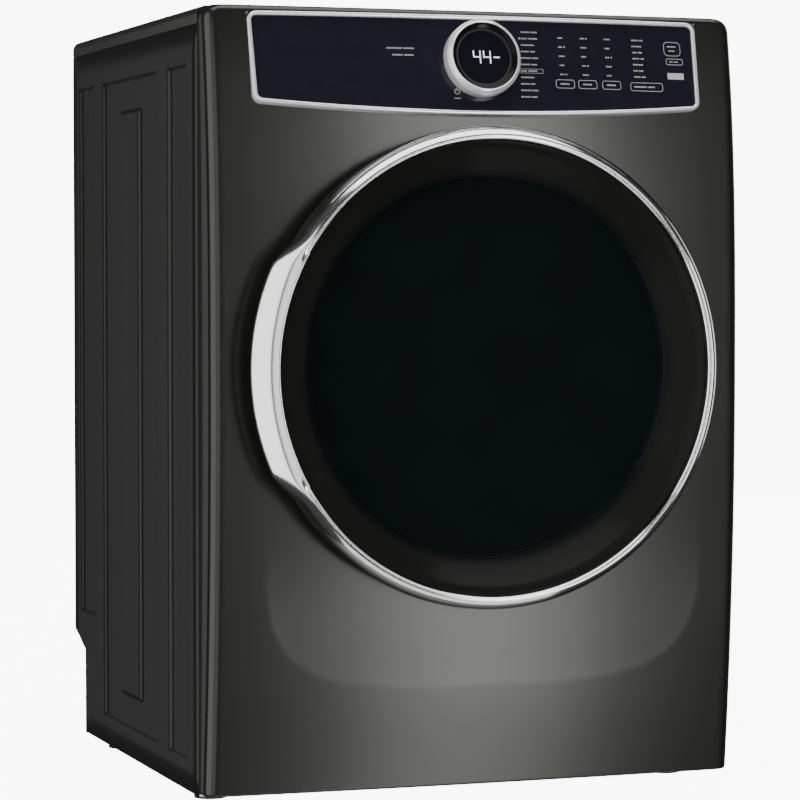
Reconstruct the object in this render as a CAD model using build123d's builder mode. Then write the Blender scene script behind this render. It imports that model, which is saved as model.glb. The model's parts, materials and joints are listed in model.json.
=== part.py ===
"""Front-load clothes dryer, as separate pieces that come apart on a bench.

Millimetres. +Z is up, the front faces -Y, +X is the user's right, and the origin is at the
middle of the footprint, on the floor.
"""

import os
from math import atan2, cos, pi, radians, sin, sqrt

from build123d import *

os.makedirs("parts", exist_ok=True)

# Overall size
WIDTH = 686
HEIGHT = 965
DEPTH = 790
HALF = WIDTH / 2
SHEET = 1.2
GAP = 0.5
FINE_GAP = 0.2
RUNNING_FIT = 0.08
CUT = 5

# Stations from front to back
Y_CREST = -DEPTH / 2
Y_SEAM = Y_CREST + 118
Y_REAR = Y_SEAM + 640
Y_NOTCH = Y_REAR - 60
Y_OUTLET = DEPTH / 2

# Heights
Z_BASE = 15
Z_TOP_SEAM = 943
NOTCH_LOW = 130
NOTCH_HIGH = 152
PAN_WALL = 26

# Side panel pressings as (front, back, bottom, top), measured back from the seam
RECESSES = [(51, 140, 50, 900), (190, 474, 50, 900), (522, 605, 178, 900)]
RAISED_PAD = (283, 380, 95, 855)
PRESS_DEPTH = 4
PRESS_TAPER = 45
PRESS_GROWTH = 1.7
PAD_MERGE = 0.01
FLANGE = 12

# Front panel
FACE_MID_Z = 500
FACE_MID = 57
FACE_BOTTOM_DROP = 27
FACE_TOP_DROP = 30
FACE_BOW = 8
CORNER_RADIUS = 15
TOP_CORNER_RADIUS = 18
LOW_CORNER_RADIUS = 4
PANEL_REACH = 120
OPENING_RADIUS = 240
PANEL_LOW = Z_BASE + 3
PANEL_STATIONS = (260, 500, 740)

# Top, back and underside
TOP_EDGE_RADIUS = 12
SCREW_RADIUS = 4.5
SCREW_HEAD = 2.5
SCREW_LEVELS = (190, 330, 470, 610, 750, 890)
SCREW_INSET = 12
BULGE_RADIUS = 215
BULGE_DEPTH = 12
VENT_X = 235
VENT_Z = 270
VENT_SLOT = (90, 5)
VENT_COUNT = 9
VENT_PITCH = 12
TERMINAL = (-235, 855)
TERMINAL_HALF = (30, 22)
TERMINAL_GAP = 2
COVER_SCREW_X = 200
COVER_SCREW_Z = 70
PAN_SHEET = 1.5
TERMINAL_Y = (Y_REAR - 26, Y_REAR - 6)
TERMINAL_SLOT_X = 10
TERMINAL_SLOT_HALF = 1.5
TERMINAL_SLOT_DEPTH = 6

# Control console
CONSOLE_TILT = 12.8
CONSOLE_Z = 904
CONSOLE_REACH = 48
CONSOLE_HALF_TOP = 291
CONSOLE_HALF_LOW = 289
CONSOLE_RISE = 56
CONSOLE_DROP = 57
CONSOLE_SAG = 69
CONSOLE_CORNER = 12
CONSOLE_CUT = 100
TRIM_WIDTH = 6.5
DIAL_RADIUS = 47.5
DIAL_BORE = 36
DIAL_GAP = 0.6
RIM_PROUD = 3
RIM_DEPTH = 10
FACE_THICK = 3
BACKER_WALL = 2.3
BACKER_BACK = 26
BACKER_HOLE_MARGIN = 4
BOARD_X = -160
BOARD_SIZE = (180, 76)
BOARD_BEHIND = 12
BOARD_THICK = 1.6
CHIP_SIZE = (22, 16)
CHIP_PITCH = (34, 36)
CHIP_ROWS = (5, 2)
CHIP_HEIGHT = 14

# Dial and display, as (radius, height) points on the console's own axis
DIAL_PROFILE = [
    (DIAL_BORE, -8.5), (49.2, -8.5), (49.2, -6.5), (47, -6.5), (DIAL_RADIUS, 3), (DIAL_RADIUS, 14),
    (46.4, 17), (41.5, 21.4), (39.5, 22), (38, 21.2), (37, 16), (DIAL_BORE, 15),
]
CUP_RADIUS = DIAL_BORE - RUNNING_FIT
DISPLAY_CUP = [(0, -20), (CUP_RADIUS, -20), (CUP_RADIUS, 13), (33.4, 13), (33.4, -17), (0, -17)]
LENS_PROFILE = [(0, 9.5), (33.2, 9.5), (33.2, 12), (0, 12.4)]

# Door
DOOR_Z = 531
RING_RADIUS = 292
FRAME_RADIUS = 289
DISC_RADIUS = 273.5
WINDOW_RADIUS = 228
HANDLE_RADIUS = 305
HANDLE_INNER_RADIUS = 262
HANDLE_HALF_ANGLE = 26
HANDLE_BLEND_ANGLE = 34
HANDLE_THICK = 24
HANDLE_TAPER = 30
FRAME_WALL = 2.5
FRAME_LIP_Y = -369
RING_BACK_Y = -368
Y_DISC = Y_SEAM - 107.5
Y_WINDOW = Y_SEAM - 75
Y_DOOR_BACK = Y_SEAM - 69
WINDOW_THICK = 3.5
LINER_RADIUS = 217
LINER_Y = -343.8
INNER_GLASS_RADIUS = 202
INNER_GLASS_Y = (-299, -294.7)
SHOULDER_INSET = 2
FRAME_INNER_RADIUS = 215
FRAME_NOTCH = ((243, -367.6), (295, -340))
BEZEL_RADIUS = DISC_RADIUS - 0.3
BEZEL_STEP = 1
BEZEL_DEPTH = 2.8
BEZEL_WALL = 2

# Sections of the round door pieces, as (radius, y) points
RING_PROFILE = [
    (RING_RADIUS - 1, RING_BACK_Y), (RING_RADIUS, -371), (RING_RADIUS - 2, -381), (RING_RADIUS - 6, -390),
    (RING_RADIUS - 9, -394), (RING_RADIUS - 11, Y_CREST), (RING_RADIUS - 13, -394), (278.4, -391.5),
    (277.4, -391.3), (275.6, -392), (DISC_RADIUS + 0.4, -390), (DISC_RADIUS, -386.5),
    (DISC_RADIUS, -384.6), (279, -387), (285, -381), (FRAME_RADIUS + 0.2, -371),
    (FRAME_RADIUS + 0.2, RING_BACK_Y),
]
RING_HOLLOW = [
    (250, -367), (FRAME_RADIUS + 0.2, -367), (FRAME_RADIUS + 0.2, -371), (285, -381), (279, -387),
    (250, -387),
]
LINER_PROFILE = [
    (236, LINER_Y - 2), (236, LINER_Y), (LINER_RADIUS + 2, LINER_Y), (LINER_RADIUS - 10, -292),
    (LINER_RADIUS - 26, -292), (LINER_RADIUS - 26, -294.5), (LINER_RADIUS - 12, -294.5),
    (LINER_RADIUS - 1, LINER_Y - 2),
]
SEAL_PROFILE = [(229, LINER_Y), (237, LINER_Y), (237, -338), (229, -339)]

# Hinge, latch and door switch
HINGE_X = 272
HINGE_Y = -370
KNUCKLE_RADIUS = 5.8
PIN_RADIUS = 2.5
PIN_HALF = 53
ARM_OFFSET = 27
ARM_HALF = 7
ARM_WIDTH = 3
MIDDLE_KNUCKLE_HALF = 17
END_KNUCKLE_OFFSET = 44
END_KNUCKLE_HALF = 8
PIN_FIT = 0.05
FIXED_LEAF_X = (242, 262)
FIXED_LEAF_Y = (-341, -339)
FIXED_ARM_END = (246, -340)
FIXED_LEAF_HALF = 50
MOVING_LEAF_X = (234, 256)
MOVING_LEAF_Y = (-351.2, -348.6)
MOVING_ARM_END = (254, -350)
STRIKE_X = (-227.5, -224)
STRIKE_PLATE_X = (-228.8, -220)
STRIKE_PLATE_HALF = 9
STRIKE_ROOT_Y = -342
STRIKE_TIP_Y = -322
STRIKE_HALF = 6
STRIKE_SLOT_Y = (-336, -327)
CATCH_X = (-248, -219.5)
CATCH_Y = (-334, -310)
CATCH_HALF = 14
CATCH_SLOT_X = (-230, -222.3)
CATCH_SLOT_Y = (-334, -318)
CATCH_SLOT_HALF = 8
SWITCH_X = -180
SWITCH_Z = 716
SWITCH_HALF = (9, 16)
SWITCH_Y = (-331, -300)
PLUNGER_RADIUS = 4
PLUNGER_END_Y = -314
PLUNGER_GAP = 0.3
SWITCH_BORE_END = -308

# Drum
DRUM_Z = 575
DRUM_RADIUS = 322
DRUM_FRONT = -245
DRUM_BACK = 284
RIM_RADIUS = 299
RIM_LENGTH = 26
BAFFLE_HEIGHT = 68
BAFFLE_ANGLES = (90, 210, 330)
BAFFLE_FRONT = -190
BAFFLE_LENGTH = 400
BAFFLE_WALL = 4
BAFFLE_OUTER = [(-46, 0), (-22, BAFFLE_HEIGHT), (22, BAFFLE_HEIGHT), (46, 0)]
BAFFLE_INNER = [(-43, 0), (-20, BAFFLE_HEIGHT - 3), (20, BAFFLE_HEIGHT - 3), (43, 0)]
BAFFLE_BASE = DRUM_RADIUS - 4 * SHEET
AIR_HOLE_RINGS = (195, 212, 229)
AIR_HOLE_RADIUS = 4
AIR_HOLE_COUNT = 32
SHAFT_RADIUS = 10
SHAFT_FLANGE = (60, 5)
SHAFT_REACH = 24
BULKHEAD_Y = -252
BULKHEAD_LOW = 250
BULKHEAD_TOP = 924
FRONT_BULKHEAD_HALF = HALF - 1.8
REAR_BULKHEAD_HALF = HALF - 6
COLLAR_RADIUS = 294
COLLAR_LENGTH = 30
FRONT_FELT = (5, 23)
FELT_GAP = 0.4
THROAT_RADIUS = 215
THROAT_MOUTH_RADIUS = 238
THROAT_MOUTH_Y = -337
THROAT_WALL = 4
THROAT_LIP = 2
THROAT_LIP_WALL = 3
FILTER_NOTCH = ((-76, -288, 285), (76, -265, 345))
CATCH_NOTCH = ((-262, -335, DOOR_Z - 15), (-200, -303, DOOR_Z + 15))
REAR_BULKHEAD_Y = 298
REAR_BULKHEAD_LOW = 170
HEATER_FRONT = REAR_BULKHEAD_Y + SHEET
REAR_FELT = (316, 298)
INLET_RING = 215
INLET_RADIUS = 26
INLET_COUNT = 16
BEARING_RADIUS = 28
BEARING_FLANGE = 42
BEARING_SPAN = (-4, 20)
BEARING_FLANGE_END = 6

# Drive: motor, blower and belt
MOTOR_X = 130
MOTOR_Z = 150
MOTOR_RADIUS = 62
MOTOR_WALL = 3
MOTOR_FRONT = -140
MOTOR_BACK = 10
MOTOR_END = 4
BOSS_RADIUS = 16
BOSS_LENGTH = 12
ROTOR_RADIUS = 33.4
ROTOR_SPAN = (-110, -20)
ROTOR_SHAFT_RADIUS = 6
SHAFT_FRONT = -228
SHAFT_PAST_BELT = 14
SADDLE_TOP = 124
SADDLE_STARTS = (-136, 0)
SADDLE_THICK = 4
SADDLE_FIT = 0.1
MOUNT_Y = (-142, 12)
SADDLE_HALF = 54
MOUNT_HALF = 58
MOUNT_SHEET = 3
BELT_Y = 70
BELT_WIDTH = 8
BELT_THICK = 2
BELT_CLEARANCE = 0.4
PULLEY_RADIUS = 9.5
PULLEY_HALF = 9
PULLEY_FLANGE = 5
PULLEY_FLANGE_THICK = 2
IDLER_RADIUS = 20
IDLER_HALF = 8
IDLER_FLANGE = 3
IDLER_FLANGE_THICK = 1.5
IDLER_X = 180.4
IDLER_Z = 202.6
AXLE_RADIUS = 4
AXLE_HEAD = (6, 3)
AXLE_PAST_WHEEL = 4
ARM_PIVOT_X = 235
ARM_PIVOT_Z = 150
ARM_Y = 84
ARM_STRIP = 14
ARM_HUB_RADIUS = 11
ARM_THICK = 3
BRACKET_FOOT_X = (45, 22)
BRACKET_FOOT_Y = (24, 14)
BRACKET_BEHIND = 8
POST_REACH = 4
COLLAR_POST = 7
BRACKET_HALF = 14
BRACKET_SHEET = 3

# Idler spring
SPRING_X = 205
SPRING_Z = 179
SPRING_Y = 77
SPRING_LOW = 62
SPRING_TOP = 168
SPRING_RADIUS = 4.5
SPRING_TURNS = 20
WIRE_RADIUS = 0.7
HOOK_RADIUS = 6
HOOK_DROP = 9
PEG_RADIUS = 2
PEG_REACH = 3
TAB_HALF = 5
TAB_BEHIND = 2
TAB_BELOW = 4
STEM_MIDDLE = 8
STEM_HALF = 3

# Blower and exhaust
BLOWER_RADIUS = 95
BLOWER_FRONT = -258
BLOWER_BACK = -196
BLOWER_WALL = 2
BLOWER_INLET = 50
CHAMBER = (-58, MOTOR_X, 24, 163)
WHEEL_RADIUS = 82
WHEEL_BACK = -203
WHEEL_FRONT = -252
WHEEL_PLATE = 3
WHEEL_RIM = 6
WHEEL_HUB = 14
WHEEL_HUB_LENGTH = 23
VANE_RING = 70
VANE_COUNT = 24
VANE_SIZE = (22, 1.8)
VANE_PITCH_ANGLE = 25
OUTLET_Z = 78
OUTLET_RADIUS = 50.8
STUB_LENGTH = 88
DUCT_RADIUS = OUTLET_RADIUS - 0.8
DUCT_BORE = DUCT_RADIUS - 0.9

# Lint filter and its duct
FILTER_Y = -276.5
FILTER_HALF = 70
FILTER_LOW = 120
FILTER_TOP = 314
FILTER_BORDER = 8
FILTER_BAR = 4
FILTER_HEAD = 16
GRIP_HALF_WIDTH = 45
GRIP_HALF_DEPTH = 3
FILTER_TOP_BAR = 10
SCREEN_THICK = 0.8
DUCT_Y = (-293, -260.4)
DUCT_WALL = 2
DUCT_RISER = (-78, 112, 78, 300)
DUCT_BASE = (-78, 66, 198, 226)

# Heater
HEATER_OUTER = 252
HEATER_INNER = 182
HEATER_BACK = 346
HEATER_VENT_COUNT = 12
HEATER_VENT = (40, 8)
COIL_RADII = (203, 217, 231)
COIL_Y = 322
COIL_WIRE_RADIUS = 3

# Wiring
HARNESS = [(-322, -264, 880), (-322, -264, 170), (-322, -130, 145), (64, -130, 145)]
HARNESS_RADIUS = 4
HARNESS_BEND = 12

# Feet
FOOT_X = 305
FOOT_FRONT_Y = Y_SEAM + 85
FOOT_BACK_Y = Y_NOTCH - 60
FOOT_PAD_RADIUS = 20
FOOT_PAD_HEIGHT = 8
FOOT_CHAMFER = 3
NUT_RADIUS = 9
NUT_HEIGHT = 5
STUD_RADIUS = 5
STUD_LENGTH = 42

DOOR_AXIS = Axis((0, 0, DOOR_Z), (0, 1, 0))
DOOR_PLANE = Plane.XY.offset(DOOR_Z)
DRUM_AXIS = Axis((0, 0, DRUM_Z), (0, 1, 0))
DRUM_PLANE = Plane.XY.offset(DRUM_Z)


def save(piece, name):
    """Labels a finished piece and writes its STEP file."""
    piece.part.label = name
    export_step(piece.part, f"parts/{name}.step")


def plane_at_y(y, x=0, z=0):
    """A plane square to Y, facing back."""
    return Plane(origin=(x, y, z), x_dir=(1, 0, 0), z_dir=(0, 1, 0))


def front_plane(y, x=0, z=0):
    """A plane square to Y, facing forward, with its own y up."""
    return Plane(origin=(x, y, z), x_dir=(1, 0, 0), z_dir=(0, -1, 0))


def box_between(low, high, mode=Mode.ADD):
    """A box from its lowest to its highest corner, in the part being built."""
    middle = [(a + b) / 2 for a, b in zip(low, high)]
    size = [b - a for a, b in zip(low, high)]
    with Locations(tuple(middle)):
        Box(*size, mode=mode)


def tube_along_y(x, z, outer, inner, y_start, y_end, mode=Mode.ADD):
    """A tube, or a rod when inner is 0, along Y."""
    with BuildSketch(plane_at_y(y_start, x, z)) as section:
        Circle(outer)
        if inner:
            Circle(inner, mode=Mode.SUBTRACT)
    extrude(section.sketch, amount=y_end - y_start, mode=mode)


def ring_of(profile, plane, axis, mode=Mode.ADD):
    """Revolves a closed profile of (radius, height) points, drawn on that plane, about the axis."""
    with BuildSketch(plane) as section:
        with BuildLine():
            Polyline(*profile, close=True)
        make_face()
    revolve(section.sketch, axis=axis, mode=mode)


# ---------------------------------------------------------------- cabinet shell

SIDE_PLANE = Plane(origin=(-HALF, 0, 0), x_dir=(0, 1, 0), z_dir=(1, 0, 0))
REAR_EDGE = [(Y_NOTCH, Z_BASE), (Y_NOTCH, NOTCH_LOW), (Y_REAR, NOTCH_HIGH), (Y_REAR, Z_TOP_SEAM)]
REAR_INNER = [(y - SHEET, z + (SHEET if z == NOTCH_LOW else 0)) for y, z in reversed(REAR_EDGE)]
REAR_STRIP = REAR_EDGE + REAR_INNER


def pressing(front, back, bottom, top, grow, depth, mode):
    """A tapered block from the side's outer face inward, larger all round by grow."""
    with BuildSketch(SIDE_PLANE) as outline:
        with Locations((Y_SEAM + (front + back) / 2, (bottom + top) / 2)):
            Rectangle(back - front + 2 * grow, top - bottom + 2 * grow)
    extrude(outline.sketch, amount=depth, taper=PRESS_TAPER, mode=mode)


def raised_pad(start, inset, depth, mode):
    """The pad that stands back out of the widest recess, wider toward the inside."""
    front, back, low, top = RAISED_PAD
    with BuildSketch(SIDE_PLANE.offset(start)) as outline:
        with Locations((Y_SEAM + (front + back) / 2, (low + top) / 2)):
            Rectangle(
                back - front - 2 * PRESS_DEPTH - 2 * inset + PAD_MERGE,
                top - low - 2 * PRESS_DEPTH - 2 * inset + PAD_MERGE,
            )
    extrude(outline.sketch, amount=depth, taper=-PRESS_TAPER, mode=mode)


with BuildPart() as left_side_panel:
    with BuildSketch(SIDE_PLANE):
        with BuildLine():
            Polyline((Y_SEAM, Z_BASE), *REAR_EDGE, (Y_SEAM, Z_TOP_SEAM), close=True)
        make_face()
    extrude(amount=SHEET)
    for recess in RECESSES:
        pressing(*recess, PRESS_GROWTH, PRESS_DEPTH + SHEET, Mode.ADD)
        pressing(*recess, 0, PRESS_DEPTH, Mode.SUBTRACT)
    raised_pad(0, 0, PRESS_DEPTH + 0.4, Mode.ADD)
    raised_pad(SHEET, SHEET, PRESS_DEPTH + 0.1, Mode.SUBTRACT)
    box_between((-HALF, Y_SEAM, Z_BASE), (-HALF + FLANGE, Y_SEAM + SHEET, Z_TOP_SEAM))
    with BuildSketch(SIDE_PLANE):
        with BuildLine():
            Polyline(*REAR_STRIP, close=True)
        make_face()
    extrude(amount=FLANGE)
save(left_side_panel, "left_side_panel")

with BuildPart() as right_side_panel:
    mirror(left_side_panel.part, about=Plane.YZ)
save(right_side_panel, "right_side_panel")

# Open tray that carries the feet, the motor and the blower
PAN_HALF = HALF - SHEET - FINE_GAP
PAN_FRONT = Y_SEAM + SHEET + 0.3
PAN_BACK = Y_NOTCH - SHEET - 0.3
PAN_FLOOR = Z_BASE + PAN_SHEET
PAN_TOP = Z_BASE + PAN_WALL
FOOT_PLACES = {
    "front_left_foot": (-FOOT_X, FOOT_FRONT_Y),
    "front_right_foot": (FOOT_X, FOOT_FRONT_Y),
    "rear_left_foot": (-FOOT_X, FOOT_BACK_Y),
    "rear_right_foot": (FOOT_X, FOOT_BACK_Y),
}

with BuildPart() as base_pan:
    box_between((-PAN_HALF, PAN_FRONT, Z_BASE), (PAN_HALF, PAN_BACK, PAN_TOP))
    box_between(
        (-PAN_HALF + PAN_SHEET, PAN_FRONT + PAN_SHEET, PAN_FLOOR),
        (PAN_HALF - PAN_SHEET, PAN_BACK - PAN_SHEET, PAN_TOP),
        Mode.SUBTRACT,
    )
    with Locations(*[(x, y, Z_BASE) for x, y in FOOT_PLACES.values()]):
        Cylinder(STUD_RADIUS + GAP, 2 * CUT, mode=Mode.SUBTRACT)
    tube_along_y(0, OUTLET_Z, OUTLET_RADIUS + GAP, 0, PAN_BACK - CUT, PAN_BACK + CUT, Mode.SUBTRACT)
save(base_pan, "base_pan")

for foot_name, (foot_x, foot_y) in FOOT_PLACES.items():
    with BuildPart() as foot:
        with BuildSketch(Plane.XY):
            with Locations((foot_x, foot_y)):
                Circle(FOOT_PAD_RADIUS)
        extrude(amount=FOOT_PAD_HEIGHT)
        chamfer(foot.edges().filter_by(GeomType.CIRCLE).sort_by(Axis.Z)[-1], FOOT_CHAMFER)
        with BuildSketch(Plane.XY.offset(FOOT_PAD_HEIGHT)):
            with Locations((foot_x, foot_y)):
                RegularPolygon(NUT_RADIUS, 6)
        extrude(amount=NUT_HEIGHT)
        with BuildSketch(Plane.XY.offset(FOOT_PAD_HEIGHT + NUT_HEIGHT)):
            with Locations((foot_x, foot_y)):
                Circle(STUD_RADIUS)
        extrude(amount=STUD_LENGTH)
    save(foot, foot_name)


def face_reach(z):
    """How far the front panel stands ahead of the side seam at that height, at its corners."""
    if z < FACE_MID_Z:
        return FACE_MID - FACE_BOTTOM_DROP * ((FACE_MID_Z - z) / (FACE_MID_Z - Z_BASE)) ** 2
    return FACE_MID - FACE_TOP_DROP * ((z - FACE_MID_Z) / (HEIGHT - FACE_MID_Z)) ** 3


def panel_section(z, inset):
    """One level outline of the front panel, from the seam forward round both corners."""
    half = HALF - inset
    front = Y_SEAM - face_reach(z) + inset
    with BuildSketch(Plane.XY.offset(z)) as section:
        with BuildLine():
            Polyline((-half, front), (-half, Y_SEAM), (half, Y_SEAM), (half, front))
            ThreePointArc((half, front), (0, front - FACE_BOW), (-half, front))
        make_face()
        fillet(section.vertices().group_by(Axis.Y)[0], CORNER_RADIUS - inset)
    return section.sketch


def panel_block(inset):
    """The front panel as a solid block, smaller all round by inset, rounded as seen from ahead."""
    low, high = PANEL_LOW + inset, HEIGHT - inset
    with BuildPart() as block:
        loft([panel_section(z, inset) for z in (low, *PANEL_STATIONS, high)])
        with BuildSketch(front_plane(Y_SEAM + 4 * CUT)) as outline:
            with Locations((0, (low + high) / 2)):
                Rectangle(2 * (HALF - inset), high - low)
            fillet(outline.vertices().group_by(Axis.Z)[-1], TOP_CORNER_RADIUS - inset)
            fillet(outline.vertices().group_by(Axis.Z)[0], LOW_CORNER_RADIUS - inset)
        extrude(amount=PANEL_REACH, mode=Mode.INTERSECT)
    return block.part


# The console stands on its own plane, leaning back, bowed like the panel
TILT_COS = cos(radians(CONSOLE_TILT))
TILT_SIN = sin(radians(CONSOLE_TILT))
CONSOLE_ORIGIN = (0, Y_SEAM - CONSOLE_REACH, CONSOLE_Z)
CONSOLE_PLANE = Plane(origin=CONSOLE_ORIGIN, x_dir=(1, 0, 0), z_dir=(0, -TILT_COS, TILT_SIN))
CONSOLE_BAND = Plane(origin=CONSOLE_ORIGIN, x_dir=(1, 0, 0), z_dir=(0, TILT_SIN, TILT_COS))


def console_outline(inset):
    """The console's outline on its own plane, smaller all round by inset."""
    with BuildSketch(CONSOLE_PLANE) as outline:
        top = CONSOLE_RISE - inset
        low = -CONSOLE_DROP + inset
        half_top, half_low = CONSOLE_HALF_TOP - inset, CONSOLE_HALF_LOW - inset
        with BuildLine():
            Polyline((-half_low, low), (-half_top, top), (half_top, top), (half_low, low))
            ThreePointArc((half_low, low), (0, -CONSOLE_SAG + inset), (-half_low, low))
        make_face()
        fillet(outline.vertices(), max(CONSOLE_CORNER - inset, 2))
    return outline.sketch


def console_slab(front, back, inset, mode=Mode.ADD):
    """A bowed plate of the console's outline, from front to back behind its face, as a part."""
    with BuildPart() as slab:
        with BuildSketch(CONSOLE_BAND):
            with BuildLine():
                ThreePointArc((-HALF, front + FACE_BOW), (0, front), (HALF, front + FACE_BOW))
                Line((HALF, front + FACE_BOW), (HALF, back + FACE_BOW))
                ThreePointArc((HALF, back + FACE_BOW), (0, back), (-HALF, back + FACE_BOW))
                Line((-HALF, back + FACE_BOW), (-HALF, front + FACE_BOW))
            make_face()
        extrude(amount=CONSOLE_CUT, both=True)
        extrude(console_outline(inset), amount=CONSOLE_CUT, both=True, mode=Mode.INTERSECT)
    add(slab.part, mode=mode)


with BuildPart() as front_panel:
    add(panel_block(0))
    add(panel_block(SHEET), mode=Mode.SUBTRACT)
    tube_along_y(0, DOOR_Z, OPENING_RADIUS, 0, Y_CREST, Y_SEAM, Mode.SUBTRACT)
    extrude(console_outline(-GAP), amount=CONSOLE_CUT, both=True, mode=Mode.SUBTRACT)
    tube_along_y(SWITCH_X, SWITCH_Z, PLUNGER_RADIUS + 3 * GAP, 0, Y_CREST, Y_SEAM, Mode.SUBTRACT)
save(front_panel, "front_panel")

with BuildPart() as top_panel:
    box_between((-HALF, Y_SEAM + 0.3, Z_TOP_SEAM + GAP), (HALF, Y_REAR, HEIGHT))
    for end in (0, -1):
        fillet(top_panel.faces().sort_by(Axis.X)[end].edges().sort_by(Axis.Z)[-1], TOP_EDGE_RADIUS)
    offset(amount=-SHEET, openings=top_panel.faces().sort_by(Axis.Z)[0])
save(top_panel, "top_panel")

REAR_HALF = HALF - FLANGE - GAP
TERMINAL_X, TERMINAL_Z = TERMINAL


def back_bulge(radius, depth, mode=Mode.ADD):
    """A shallow tapered bulge in the back panel behind the drum."""
    with BuildSketch(plane_at_y(Y_REAR - SHEET, 0, DRUM_Z)) as outline:
        Circle(radius)
    extrude(outline.sketch, amount=depth, taper=30, mode=mode)


with BuildPart() as rear_panel:
    with BuildSketch(Plane(origin=(-REAR_HALF, 0, 0), x_dir=(0, 1, 0), z_dir=(1, 0, 0))):
        with BuildLine():
            Polyline(*REAR_STRIP[1:-1], close=True)
        make_face()
    extrude(amount=2 * REAR_HALF)
    back_bulge(BULGE_RADIUS, BULGE_DEPTH + SHEET)
    back_bulge(BULGE_RADIUS - 1, BULGE_DEPTH, Mode.SUBTRACT)
    with BuildSketch(plane_at_y(Y_REAR - CUT, TERMINAL_X, TERMINAL_Z)):
        Rectangle(*[2 * (half + TERMINAL_GAP) for half in TERMINAL_HALF])
    extrude(amount=2 * CUT, mode=Mode.SUBTRACT)
    for vent_x in (-VENT_X, VENT_X):
        with BuildSketch(plane_at_y(Y_REAR - CUT, vent_x, VENT_Z)):
            with GridLocations(0, VENT_PITCH, 1, VENT_COUNT):
                SlotOverall(*VENT_SLOT)
        extrude(amount=2 * CUT, mode=Mode.SUBTRACT)
save(rear_panel, "rear_panel")

with BuildPart() as rear_access_cover:
    box_between((-REAR_HALF, Y_NOTCH - SHEET, Z_BASE), (REAR_HALF, Y_NOTCH, NOTCH_LOW - FINE_GAP))
    tube_along_y(0, OUTLET_Z, OUTLET_RADIUS + GAP, 0, Y_NOTCH - CUT, Y_NOTCH + CUT, Mode.SUBTRACT)
    for screw_x in (-COVER_SCREW_X, COVER_SCREW_X):
        tube_along_y(screw_x, COVER_SCREW_Z, SCREW_RADIUS, 0, Y_NOTCH, Y_NOTCH + SCREW_HEAD)
save(rear_access_cover, "rear_access_cover")

with BuildPart() as cabinet_screws:
    for screw_z in SCREW_LEVELS:
        for side in (-1, 1):
            screw_x = side * (REAR_HALF - SCREW_INSET)
            tube_along_y(screw_x, screw_z, SCREW_RADIUS, 0, Y_REAR, Y_REAR + SCREW_HEAD)
save(cabinet_screws, "cabinet_screws")

# ---------------------------------------------------------------- bulkheads and throat

with BuildPart() as front_bulkhead:
    half = FRONT_BULKHEAD_HALF
    box_between((-half, BULKHEAD_Y, BULKHEAD_LOW), (half, BULKHEAD_Y + SHEET, BULKHEAD_TOP))
    tube_along_y(0, DRUM_Z, COLLAR_RADIUS, COLLAR_RADIUS - SHEET, BULKHEAD_Y, BULKHEAD_Y + COLLAR_LENGTH)
    tube_along_y(0, DOOR_Z, THROAT_RADIUS, 0, BULKHEAD_Y - CUT, BULKHEAD_Y + CUT, Mode.SUBTRACT)
save(front_bulkhead, "front_bulkhead")

with BuildPart() as front_drum_seal:
    felt_start, felt_end = [BULKHEAD_Y + reach for reach in FRONT_FELT]
    tube_along_y(0, DRUM_Z, RIM_RADIUS - FELT_GAP, COLLAR_RADIUS, felt_start, felt_end)
save(front_drum_seal, "front_drum_seal")

with BuildPart() as door_throat:
    ring_of(
        [
            (THROAT_MOUTH_RADIUS - THROAT_WALL, THROAT_MOUTH_Y),
            (THROAT_MOUTH_RADIUS, THROAT_MOUTH_Y),
            (THROAT_RADIUS - GAP, BULKHEAD_Y),
            (THROAT_RADIUS - GAP, BULKHEAD_Y + THROAT_LIP),
            (THROAT_RADIUS - THROAT_LIP_WALL, BULKHEAD_Y + THROAT_LIP),
            (THROAT_RADIUS - THROAT_LIP_WALL, BULKHEAD_Y),
        ],
        DOOR_PLANE,
        DOOR_AXIS,
    )
    box_between(*FILTER_NOTCH, Mode.SUBTRACT)
    box_between(*CATCH_NOTCH, Mode.SUBTRACT)
save(door_throat, "door_throat")

with BuildPart() as rear_bulkhead:
    half = REAR_BULKHEAD_HALF
    near, far = REAR_BULKHEAD_Y - CUT, REAR_BULKHEAD_Y + CUT
    box_between((-half, REAR_BULKHEAD_Y, REAR_BULKHEAD_LOW), (half, HEATER_FRONT, BULKHEAD_TOP))
    tube_along_y(0, DRUM_Z, BEARING_RADIUS + 2 * GAP, 0, near, far, Mode.SUBTRACT)
    with BuildSketch(plane_at_y(near, 0, DRUM_Z)):
        with PolarLocations(INLET_RING, INLET_COUNT):
            Circle(INLET_RADIUS)
    extrude(amount=2 * CUT, mode=Mode.SUBTRACT)
save(rear_bulkhead, "rear_bulkhead")

with BuildPart() as rear_drum_seal:
    tube_along_y(0, DRUM_Z, *REAR_FELT, DRUM_BACK + SHEET + 2 * GAP, REAR_BULKHEAD_Y)
save(rear_drum_seal, "rear_drum_seal")

with BuildPart() as drum_bearing:
    bearing_start, bearing_end = [REAR_BULKHEAD_Y + reach for reach in BEARING_SPAN]
    flange_end = REAR_BULKHEAD_Y + BEARING_FLANGE_END
    tube_along_y(0, DRUM_Z, BEARING_RADIUS, SHAFT_RADIUS + RUNNING_FIT, bearing_start, bearing_end)
    tube_along_y(0, DRUM_Z, BEARING_FLANGE, BEARING_RADIUS, HEATER_FRONT, flange_end)
save(drum_bearing, "drum_bearing")

# ---------------------------------------------------------------- drum

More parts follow.
